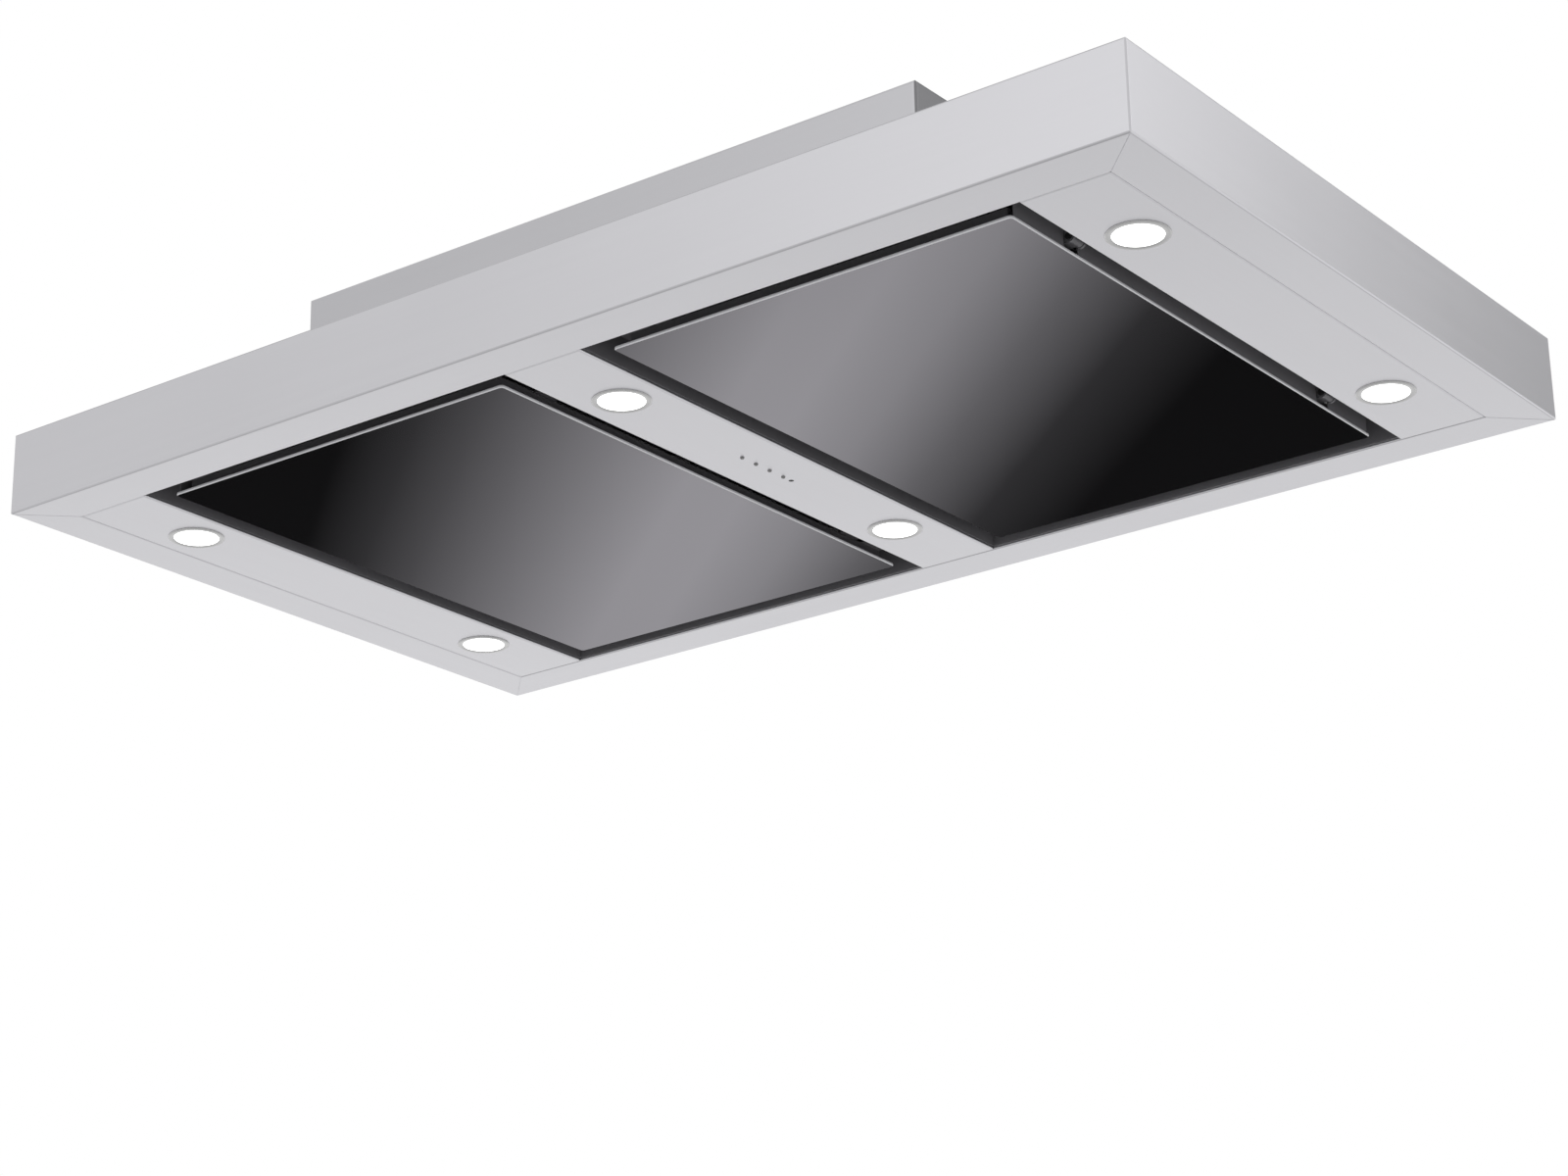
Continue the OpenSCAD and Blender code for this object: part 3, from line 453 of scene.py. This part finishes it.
def ground_edge():
    tone = finish("ground_edge")
    place = tone.place()
    frost = tone.noise(place, 2200, 2)
    drift = tone.noise(place, 30, 2)
    colour = tone.blend(drift, (0.80, 0.80, 0.83, 1), (0.88, 0.88, 0.91, 1))
    return tone.surface(
        Base_Color=colour, Roughness=0.3 + frost * 0.15, Normal=tone.bump(frost, 0.00003, 0.4)
    )


glass_face = black_glass()
glass_edge = ground_edge()
print("black glass with a ground edge")

# %% [markdown]
# ## Lamp lens
#
# The opal lens is lit from behind. Its colour and its light both carry a soft pattern of the
# diodes behind it, strongest in the middle, so that it still reads as a lens when it clips.

# %% Lamp lens
LAMP_STRENGTH = 2.6


def lit_lens():
    tone = finish("lit_lens")
    place = tone.place()
    prism = tone.node("TexVoronoi", "Distance", {"feature": "F1"}, {"Vector": place, "Scale": 420})
    glow = tone.blend(prism, (1.0, 0.995, 0.97, 1), (0.86, 0.87, 0.86, 1))
    return tone.surface(
        Base_Color=glow, Roughness=0.35, Emission_Color=glow, Emission_Strength=LAMP_STRENGTH,
        Normal=tone.bump(prism, 0.0001, 0.3),
    )


lens_opal = lit_lens()
print("lens lit at", LAMP_STRENGTH)

# %% [markdown]
# ## Give every node of the frame its finish
#
# A node of the frame keeps its own mesh. Only its material slots change, so one table of names
# is the whole step.

# %% Dress the frame
DRESS = {
    steel_of_casing: ["casing"],
    steel_of_plinth: ["plinth"],
    steel_of_strips: ["left_strip", "centre_strip", "right_strip", "lamp_rings"],
    coat: ["left_inlet_tray", "right_inlet_tray", "left_glass_carrier", "right_glass_carrier",
           "left_hinge_brackets", "right_hinge_brackets"],
    pin_black: ["left_hinge_pins", "right_hinge_pins", "tray_screws"],
    glass_face: ["left_glass", "right_glass"],
    zinc: ["roof_panel", "lamp_clips", "driver_case", "driver_lid", "power_case", "power_lid",
           "mounting_rails", "outlet_collar"],
    zinc_screw: ["roof_screws", "plinth_screws", "collar_screws"],
    pin_steel: ["left_filter_latch", "right_filter_latch", "damper_pin"],
    nickel: ["left_catch_magnets", "right_catch_magnets"],
    aluminium: ["left_filter_frame", "right_filter_frame", "left_filter_pad",
                "right_filter_pad", "lamp_heat_sinks", "left_damper_flap",
                "right_damper_flap"],
    black_plastic: ["left_catch_housings", "right_catch_housings", "push_switches",
                    "control_housing", "terminal_box", "terminal_lid"],
    button_plastic: ["button_1", "button_2", "button_3", "button_4"],
    window_plastic: ["receiver_window"],
    lens_opal: ["lamp_lenses"],
    white_plastic: ["lamp_boards", "terminal_block"],
    green_board: ["control_board"],
    cable_sheath: ["lamp_cable", "supply_cable", "control_cable"],
    black_rubber: ["mains_cable", "cable_grommet"],
}
for material, names in DRESS.items():
    for name in names:
        slots = nodes[name].material_slots
        for material_slot in slots:
            material_slot.material = material
        if not slots:
            nodes[name].data.materials.append(material)
bare = sorted(set(nodes) - {name for names in DRESS.values() for name in names})
print("dressed", len(nodes) - len(bare), "nodes; bare:", bare)

# %% [markdown]
# ## Tools of the bench
#
# A few helpers carry all the modelling that follows. The first measures the separate solids of
# a node, so that a piece lands where the frame has it. Another picks faces or edges by a rule,
# as a hand would by eye. The lathe turns a profile: a circle is extruded and resized step by
# step. The last hangs a finished piece on its body and hides the node that it stands for.

# %% Measure a node
def solids(name):
    """The low and high corner of each separate solid in a node, from left to right."""
    mesh = bmesh.new()
    mesh.from_mesh(nodes[name].data)
    bmesh.ops.remove_doubles(mesh, verts=mesh.verts, dist=MM / 100)
    waiting = set(mesh.verts)
    boxes = []
    while waiting:
        group = [waiting.pop()]
        for vert in group:
            near = {other for edge in vert.link_edges for other in edge.verts} & waiting
            waiting -= near
            group.extend(near)
        reach = list(zip(*(vert.co for vert in group)))
        boxes.append((Vector(map(min, reach)), Vector(map(max, reach))))
    mesh.free()
    return sorted(boxes, key=lambda box: (round(box[0].x, 3), box[0].y))


def tip_radius(name):
    """The radius of a round node close to its lowest point."""
    low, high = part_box(name)
    middle = (low + high) / 2
    tips = [v.co for v in nodes[name].data.vertices if v.co.z < low.z + 0.5 * MM]
    return max(math.hypot(co.x - middle.x, co.y - middle.y) for co in tips)


print("lamp trims:", len(solids("lamp_rings")))

# %% Pick, turn and hang
def pick(piece, kind, chosen):
    """Selects the verts, edges or faces for which chosen is true, in edit mode."""
    bpy.ops.mesh.select_mode(type=kind)
    bpy.ops.mesh.select_all(action="DESELECT")
    mesh = bmesh.from_edit_mesh(piece.data)
    for item in {"VERT": mesh.verts, "EDGE": mesh.edges, "FACE": mesh.faces}[kind]:
        if chosen(item):
            item.select_set(True)
    mesh.select_flush_mode()
    bmesh.update_edit_mesh(piece.data)


def named(name):
    """Names the new primitive and bakes its place into its mesh."""
    piece = bpy.context.object
    piece.name = name
    piece.data.name = name
    bpy.ops.object.transform_apply(location=True, rotation=True, scale=True)
    return piece


def new_box(name, low, high):
    bpy.ops.object.select_all(action="DESELECT")
    bpy.ops.mesh.primitive_cube_add(size=1, location=(low + high) / 2)
    bpy.context.object.scale = high - low
    return named(name)


def lathe(name, centre, profile, sides=96, ring=False):
    """Extrudes a circle through (radius, height) points; a ring closes on its first point."""
    bpy.ops.object.select_all(action="DESELECT")
    radius, height = profile[0]
    place = centre + Vector((0, 0, height))
    bpy.ops.mesh.primitive_circle_add(vertices=sides, radius=radius, location=place)
    piece = named(name)
    bpy.ops.object.mode_set(mode="EDIT")
    bpy.ops.mesh.select_mode(type="EDGE")
    bpy.ops.mesh.select_all(action="SELECT")
    if not ring:
        bpy.ops.mesh.edge_face_add()
    for next_radius, next_height in profile[1:] + (profile[:1] if ring else []):
        step = (0, 0, next_height - height)
        bpy.ops.mesh.extrude_region_move(TRANSFORM_OT_translate={"value": step})
        grow = next_radius / radius
        bpy.ops.transform.resize(value=(grow, grow, 1), center_override=centre)
        radius, height = next_radius, next_height
    bpy.ops.mesh.select_all(action="SELECT")
    bpy.ops.mesh.remove_doubles(threshold=MM / 1000)
    bpy.ops.mesh.normals_make_consistent(inside=False)
    bpy.ops.object.mode_set(mode="OBJECT")
    return piece


def cleaned():
    """Welds the active piece where two bevels met and turns its faces outwards."""
    bpy.ops.object.mode_set(mode="EDIT")
    bpy.ops.mesh.select_all(action="SELECT")
    bpy.ops.mesh.remove_doubles(threshold=MM / 500)
    bpy.ops.mesh.normals_make_consistent(inside=False)
    bpy.ops.object.mode_set(mode="OBJECT")


def closed(piece):
    """Fills the end that a turned piece still has open."""
    bpy.ops.object.mode_set(mode="EDIT")
    pick(piece, "EDGE", lambda edge: len(edge.link_faces) == 1)
    bpy.ops.mesh.edge_face_add()
    bpy.ops.object.mode_set(mode="OBJECT")
    cleaned()


def rounded(piece, width, segments=3):
    """Rounds every edge over 30 degrees."""
    bevel = piece.modifiers.new("rounded", "BEVEL")
    bevel.width = width
    bevel.segments = segments
    bevel.limit_method = "ANGLE"
    bpy.ops.object.modifier_apply(modifier=bevel.name)
    cleaned()


def smooth(piece, degrees=35):
    bpy.ops.object.select_all(action="DESELECT")
    piece.select_set(True)
    bpy.context.view_layer.objects.active = piece
    bpy.ops.object.shade_smooth_by_angle(angle=math.radians(degrees))


def copied(piece, name, shift):
    """A copy with its own mesh, moved inside that mesh."""
    twin = piece.copy()
    twin.data = piece.data.copy()
    twin.name = name
    twin.data.transform(Matrix.Translation(shift))
    bpy.context.collection.objects.link(twin)
    return twin


def hang(piece, body, replaced=None):
    """Lets a finished piece ride on its body and hides the node that it stands for."""
    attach(piece, body)
    if replaced:
        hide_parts(replaced)
    return piece


print("the bench is ready")

# %% [markdown]
# ## Glass panels
#
# Each panel is a cut sheet of float glass: corners rounded on the belt, then a small flat
# ground along every edge so that it doesn't cut. That is two bevels on a box, the upright
# edges first, because the second bevel then follows the round corners by itself. The sides
# get the pale ground finish and the faces the black one.

# %% Glass panels
GLASS_CORNER = 4 * MM
GLASS_ARRIS = 0.8 * MM


def glass_panel(side):
    node = side + "_glass"
    low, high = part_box(node)
    piece = new_box(side + "_glass_sheet", low, high)
    bpy.ops.object.mode_set(mode="EDIT")
    pick(piece, "EDGE", lambda edge: abs(edge.verts[0].co.z - edge.verts[1].co.z) > MM)
    bpy.ops.mesh.bevel(offset=GLASS_CORNER, segments=8, affect="EDGES")
    pick(piece, "EDGE", lambda edge: len({abs(f.normal.z) > 0.5 for f in edge.link_faces}) == 2)
    bpy.ops.mesh.bevel(offset=GLASS_ARRIS, segments=1, affect="EDGES")
    bpy.ops.object.mode_set(mode="OBJECT")
    piece.data.materials.append(glass_face)
    piece.data.materials.append(glass_edge)
    for face in piece.data.polygons:
        face.material_index = 0 if abs(face.normal.z) > 0.95 else 1
    smooth(piece, 25)
    return hang(piece, side + "_panel", node)


for side in ("left", "right"):
    panel = glass_panel(side)
    print(panel.name, [round(v / MM, 1) for v in panel.dimensions], "mm")

# %% [markdown]
# ## Edge profiles
#
# The pan that carries the glass is narrower than the glass, and on the hinge side the eye would
# reach past it into the dark. A folded angle, bonded to the glass close behind its edge, closes
# that side. A box is the foot, a bisect marks its outer part, and that part is extruded up. The
# angle leaves the two hinges free.

# %% Edge profiles
PROFILE_T = 1.2 * MM
PROFILE_H = 16 * MM
PROFILE_FOOT = 7 * MM
PROFILE_INSET = 0.8 * MM
HINGE_PLAY = 1.5 * MM
PROFILE_END = 5 * MM


def edge_profile(side, number, start, end):
    """One length of folded angle along the hinge side of a panel, from y = start to y = end."""
    low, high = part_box(side + "_glass")
    inward = -1 if side == "right" else 1
    outer = (high.x if side == "right" else low.x) + inward * PROFILE_INSET
    inner, fold = outer + inward * PROFILE_FOOT, outer + inward * PROFILE_T
    foot_low = Vector((min(inner, outer), start, high.z))
    foot_high = Vector((max(inner, outer), end, high.z + PROFILE_T))
    piece = new_box(f"{side}_edge_profile_{number}", foot_low, foot_high)
    bpy.ops.object.mode_set(mode="EDIT")
    bpy.ops.mesh.select_all(action="SELECT")
    bpy.ops.mesh.bisect(plane_co=(fold, 0, 0), plane_no=(1, 0, 0))
    pick(piece, "FACE", lambda face: face.normal.z > 0.5
         and abs(face.calc_center_median().x) > abs(fold))
    rise = (0, 0, PROFILE_H - PROFILE_T)
    bpy.ops.mesh.extrude_region_move(TRANSFORM_OT_translate={"value": rise})
    bpy.ops.object.mode_set(mode="OBJECT")
    cleaned()
    piece.data.materials.append(coat_satin)
    return hang(piece, side + "_panel")


for side in ("left", "right"):
    glass_low, glass_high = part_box(side + "_glass")
    limits = [glass_low.y + PROFILE_END]
    for low, high in sorted(solids(side + "_hinge_brackets"), key=lambda box: box[0].y):
        limits += [low.y - HINGE_PLAY, high.y + HINGE_PLAY]
    limits.append(glass_high.y - PROFILE_END)
    for number, (start, end) in enumerate(zip(limits[::2], limits[1::2]), 1):
        profile = edge_profile(side, number, start, end)
        print(profile.name, round((end - start) / MM), "mm long")

# %% [markdown]
# ## Lamps
#
# A lamp is a turned trim ring with an opal lens behind it. Both are lathe work, so one circle is
# extruded along their profile. The ring's edges are rounded afterwards by a bevel, which gives
# the bright and dark lines that make it read as a real turned part. One lamp is modelled and
# the other five are copies.

# %% Lamp trims
TRIM_WALL = 1.3 * MM
TRIM_LIP = 0.9 * MM
TRIM_COVER = 1.9 * MM
TRIM_PLAY = 0.1 * MM
TRIM_ROUND = 0.22 * MM
CHAMFER_SHARE = 0.45
LIP_SHARE = 0.65
BACK_SHARE = 0.35
LENS_DOME = 0.5 * MM
LENS_STEPS = 6
trims = solids("lamp_rings")
lenses = solids("lamp_lenses")


def lamp_trim(box, lens_box):
    """The ring round the lens, with its tube in the body and a lip that covers the lens's rim."""
    low, high = box
    centre = Vector(((low.x + high.x) / 2, (low.y + high.y) / 2, UNDERSIDE))
    outer = (high.x - low.x) / 2
    bore = (lens_box[1].x - lens_box[0].x) / 2 + TRIM_PLAY
    face = low.z - UNDERSIDE
    top = high.z - UNDERSIDE
    profile = [
        (outer, 0), (outer, face * CHAMFER_SHARE), (outer - TRIM_LIP, face),
        (bore - TRIM_COVER + TRIM_LIP, face), (bore - TRIM_COVER, face * LIP_SHARE),
        (bore - TRIM_COVER, face * BACK_SHARE), (bore, face * BACK_SHARE), (bore, top),
        (bore + TRIM_WALL, top), (bore + TRIM_WALL, 0),
    ]
    piece = lathe("lamp_trim_1", centre, profile, ring=True)
    rounded(piece, TRIM_ROUND)
    piece.data.materials.append(chrome_trim)
    smooth(piece)
    return piece


def lamp_lens(box):
    """The opal lens: a thick disc whose lower face bulges a little."""
    low, high = box
    centre = Vector(((low.x + high.x) / 2, (low.y + high.y) / 2, low.z))
    radius = (high.x - low.x) / 2
    dome = []
    for step in range(LENS_STEPS + 1):
        share = 1 - step / (LENS_STEPS + 1)
        dome.append((radius * share, LENS_DOME * share * share))
    piece = lathe("lamp_lens_1", centre, [(radius, high.z - low.z)] + dome)
    closed(piece)
    piece.data.materials.append(lens_opal)
    smooth(piece, 40)
    return piece


first_trim = lamp_trim(trims[0], lenses[0])
first_lens = lamp_lens(lenses[0])
for number, box in enumerate(trims, 1):
    shift = box[0] - trims[0][0]
    trim = copied(first_trim, f"lamp_trim_{number}", shift) if number > 1 else first_trim
    lens = copied(first_lens, f"lamp_lens_{number}", shift) if number > 1 else first_lens
    hang(trim, "hood", "lamp_rings")
    hang(lens, "hood", "lamp_lenses")
print("lamps:", len(trims), "trims and lenses")

# %% [markdown]
# ## Push buttons and the receiver window
#
# The buttons are metal-grey caps, domed so that a fingertip finds them, and each rides on its
# own switch. The window beside them is a dark plug that lets the remote control's light in.
# They differ by the height of the dome only, so one lathe profile serves both.

# %% Buttons and window
CAP_STEPS = 5
CAP_SIDES = 40
CAP_END = 80
BUTTON_DOME = 0.45
WINDOW_DOME = 0.05


def domed_cap(name, node, dome_share, material):
    """A round cap with a quarter-ellipse dome, as high as dome_share of its radius."""
    low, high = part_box(node)
    centre = Vector(((low.x + high.x) / 2, (low.y + high.y) / 2, low.z))
    radius = tip_radius(node)
    dome = []
    for step in range(CAP_STEPS + 1):
        turn = math.radians(CAP_END) * step / CAP_STEPS
        dome.append((radius * math.cos(turn), radius * dome_share * (1 - math.sin(turn))))
    piece = lathe(name, centre, [(radius, high.z - low.z)] + dome, sides=CAP_SIDES)
    closed(piece)
    piece.data.materials.append(material)
    smooth(piece, 50)
    return piece


for number in range(1, 5):
    node = f"button_{number}"
    cap = domed_cap(f"{node}_cap", node, BUTTON_DOME, button_plastic)
    hang(cap, f"push_{number}", node)
window = domed_cap("receiver_window_plug", "receiver_window", WINDOW_DOME, window_plastic)
hang(window, "hood", "receiver_window")
print("four button caps and a window")

# %% [markdown]
# ## Filter mesh
#
# A grease filter is layers of expanded aluminium, pleated to hold more grease. The frame has
# the pleated inner layers. What the cook sees when a panel hangs open is the outer mesh, so it
# is modelled: a grid folded along every other line, each cell poked to a cross and its square
# edges dissolved, which leaves diamonds, and a wireframe that gives the strands their body.

# %% Filter mesh
PLEAT = 10 * MM
DIAMOND = 10 * MM
STRAND = 0.55 * MM
MESH_MARGIN = 7 * MM


def on_the_grid(edge):
    """True for an edge along x or y, false for one that crosses a cell."""
    span = edge.verts[0].co - edge.verts[1].co
    return min(abs(span.x), abs(span.y)) < MM / 100


def filter_mesh(side):
    low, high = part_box(side + "_filter_pad")
    size = high - low
    cells_x = 2 * int((size.x - 2 * MESH_MARGIN) / PLEAT)
    cells_y = int((size.y - 2 * MESH_MARGIN) / DIAMOND)
    step_x = size.x / (2 * int(size.x / PLEAT))
    width, depth = cells_x * step_x, cells_y * DIAMOND
    rise = size.z - 3 * STRAND
    floor_z = low.z - STRAND
    bpy.ops.object.select_all(action="DESELECT")
    bpy.ops.mesh.primitive_grid_add(
        x_subdivisions=cells_x, y_subdivisions=cells_y, size=1,
        location=((low.x + high.x) / 2, (low.y + high.y) / 2, floor_z),
    )
    bpy.context.object.scale = (width, depth, 1)
    piece = named(side + "_filter_mesh")
    left = piece.data.vertices[0].co.x
    bpy.ops.object.mode_set(mode="EDIT")
    pick(piece, "VERT", lambda vert: round((vert.co.x - left) / step_x) % 2 == 1)
    bpy.ops.transform.translate(value=(0, 0, rise))
    bpy.ops.mesh.select_all(action="SELECT")
    bpy.ops.mesh.poke()
    pick(piece, "EDGE", lambda edge: len(edge.link_faces) == 2 and on_the_grid(edge))
    bpy.ops.mesh.dissolve_edges(use_verts=False)
    bpy.ops.object.mode_set(mode="OBJECT")
    strands = piece.modifiers.new("strands", "WIREFRAME")
    strands.thickness = STRAND
    strands.use_even_offset = False
    strands.use_boundary = True
    bpy.ops.object.modifier_apply(modifier=strands.name)
    cleaned()
    piece.data.materials.append(aluminium)
    return hang(piece, "hood")


for side in ("left", "right"):
    screen = filter_mesh(side)
    print(screen.name, len(screen.data.polygons), "faces")

# %% [markdown]
# ## Studio
#
# A white room lights brushed steel evenly from all sides, which is why catalogue steel looks
# so calm. The world gives that room. Only the camera sees it at full white; as light it is a
# little lower, so that pale steel keeps its tone.
#
# Black glass shows nothing but the studio, so its picture is made out there, on the floor. A
# ray that left a perfect mirror meets a dark floor with soft strips of light that lie round the
# hood like the vanes of a pinwheel. One of them draws the slanting sheen over both panels, and
# a panel seen from another side finds the next one.

# %% White room
ROOM_LIGHT = 0.81


def white_room():
    world = bpy.data.worlds.new("white_room")
    bpy.context.scene.world = world
    tone = Finish(world)
    ray = tone.node("LightPath", "Is Camera Ray")
    strength = ROOM_LIGHT + (1 - ROOM_LIGHT) * ray
    light = tone.node("Background", "Background", (), {"Color": grey(1), "Strength": strength})
    out = tone.tree.nodes.new("ShaderNodeOutputWorld")
    tone.tree.links.new(light.socket, out.inputs["Surface"])


white_room()
print("room light", ROOM_LIGHT)

# %% Strips of light for the mirror
STRIP_TURN = 141.07
STRIP_OFFSET = -1.215
STRIP_HALF = 1.35
STRIP_LIGHT = 2.3
STRIP_FADE = 0.13
STRIP_MIDDLE = 4.0
STRIP_START = 1.4
DARK_FLOOR = 0.034
MIRROR_TINT = (0.96, 0.935, 1, 1)
STRIP_STOPS = [(0.0, 0.0), (0.18, 0.0), (0.27, 0.075), (0.35, 0.36), (0.43, 0.76), (0.50, 0.97),
               (0.56, 0.96), (0.66, 0.58), (0.72, 0.365), (0.77, 0.205), (0.82, 0.085), (0.88, 0.0)]


def mirror_light(tone):
    """Strips of light in four directions, as an emission over the floor's own x and y."""
    x, y, z = tone.parts(tone.place())
    turn = x.math("ARCTAN2", y, x) - math.radians(STRIP_TURN)
    turn = x.math("WRAP", turn, math.pi / 4, -math.pi / 4)
    reach = x.math("SQRT", x * x + y * y)
    across = reach * x.math("SINE", turn) - STRIP_OFFSET
    along = reach * x.math("COSINE", turn)
    band = tone.node("ValToRGB", "Color", {"stops": STRIP_STOPS},
                     {"Fac": across / (2 * STRIP_HALF) + 0.5})
    fade = 1 - (along - STRIP_MIDDLE) * STRIP_FADE
    start = ((along - STRIP_START) / STRIP_START).clamped()
    strength = x.math("MAXIMUM", fade, 0) * start * STRIP_LIGHT
    level = tone.node("RGBToBW", "Val", (), {"Color": band}) * strength + DARK_FLOOR
    return tone.node("Emission", "Emission", (), {"Color": MIRROR_TINT, "Strength": level})


print("strips", 2 * STRIP_HALF, "m wide at", STRIP_TURN, "degrees")

# %% Pale floor
FLOOR_Z = -2.2
FLOOR_SIZE = 40
FLOOR_GLOW = 0.34
STEEL_GLOW = 0.264
GLOW_RISE = 0.070
GLOW_MIDDLE = 4.6
GLOW_MOST = 0.3


def pale_floor():
    """The floor's paint with a glow of light; the glow that glossy rays see grows paler far off.
    From below, a camera looks through it.
    """
    tone = finish("pale_floor")
    seen = tone.node("LightPath", "Is Camera Ray")
    glossy = tone.node("LightPath", "Is Glossy Ray")
    mirrored = tone.node("LightPath", "Is Singular Ray")
    below = tone.node("NewGeometry", "Backfacing")
    paint = tone.node("BsdfDiffuse", "BSDF", (), {"Color": grey(0.8)})
    x, y, z = tone.parts(tone.place())
    reach = x.math("SQRT", x * x + y * y)
    rise = x.math("MINIMUM", (reach - GLOW_MIDDLE) * GLOW_RISE, GLOW_MOST)
    glow_level = seen * FLOOR_GLOW + glossy * (rise + STEEL_GLOW)
    glow = tone.node("Emission", "Emission", (), {"Color": grey(1), "Strength": glow_level})
    plain = tone.node("AddShader", "Shader", (), {0: paint, 1: glow})
    clear = tone.node("BsdfTransparent", "BSDF")
    shown = tone.node("MixShader", "Shader", (), {0: below * seen, 1: plain, 2: clear})
    mirror = mirrored * (1 - seen)
    tone.node_out(tone.node("MixShader", "Shader", (), {0: mirror, 1: shown, 2: mirror_light(tone)}))
    return tone.owner


bpy.ops.object.select_all(action="DESELECT")
bpy.ops.mesh.primitive_plane_add(size=FLOOR_SIZE)
floor = bpy.context.object
floor.name = "floor"
floor.location.z = FLOOR_Z
floor.data.materials.append(pale_floor())
print("floor", FLOOR_Z, "m, hood's underside", round(UNDERSIDE, 3), "m")

# %% [markdown]
# ## Lamps and a flag
#
# The room alone leaves all faces of the steel alike. A soft lamp in front and one at the right
# brighten both sides towards the near corner. Behind the hood stands a flag, a grey card that
# only polished things see, and the short side darkens towards the far end, which faces it.

# %% Soft lamps and the flag
FLAG_LEVEL = 0.44
FLAG_AT = (0.78, 1.05, 0.85)
FLAG_SIZE = (0.9, 1.8, 1)


def soft_lamp(name, at, to, size, power):
    """An area lamp at one point that looks at another."""
    bpy.ops.object.select_all(action="DESELECT")
    bpy.ops.object.light_add(type="AREA", location=at)
    lamp = bpy.context.object
    lamp.name = name
    lamp.data.shape = "SQUARE"
    lamp.data.size = size
    lamp.data.energy = power
    lamp.rotation_mode = "QUATERNION"
    lamp.rotation_quaternion = (Vector(to) - Vector(at)).to_track_quat("-Z", "Y")
    lamp.visible_camera = False
    return lamp


def flag_paint():
    tone = finish("flag_grey")
    inputs = {"Color": grey(1), "Strength": FLAG_LEVEL}
    tone.node_out(tone.node("Emission", "Emission", (), inputs))
    return tone.owner


soft_lamp("front", (-0.4, -3.2, 1.3), (0.4, -0.3, -0.14), 2.4, 6.5)
soft_lamp("right", (2.6, 1.6, 1.3), (0.6, -0.2, -0.14), 1.4, 4.5)
bpy.ops.object.select_all(action="DESELECT")
bpy.ops.mesh.primitive_plane_add(size=1, location=FLAG_AT, rotation=(math.pi / 2, 0, 0))
flag = bpy.context.object
flag.name = "flag"
flag.scale = FLAG_SIZE
flag.data.materials.append(flag_paint())
flag.visible_camera = False
flag.visible_diffuse = False
flag.visible_shadow = False
flag.visible_transmission = False
print("two soft lamps and a flag")
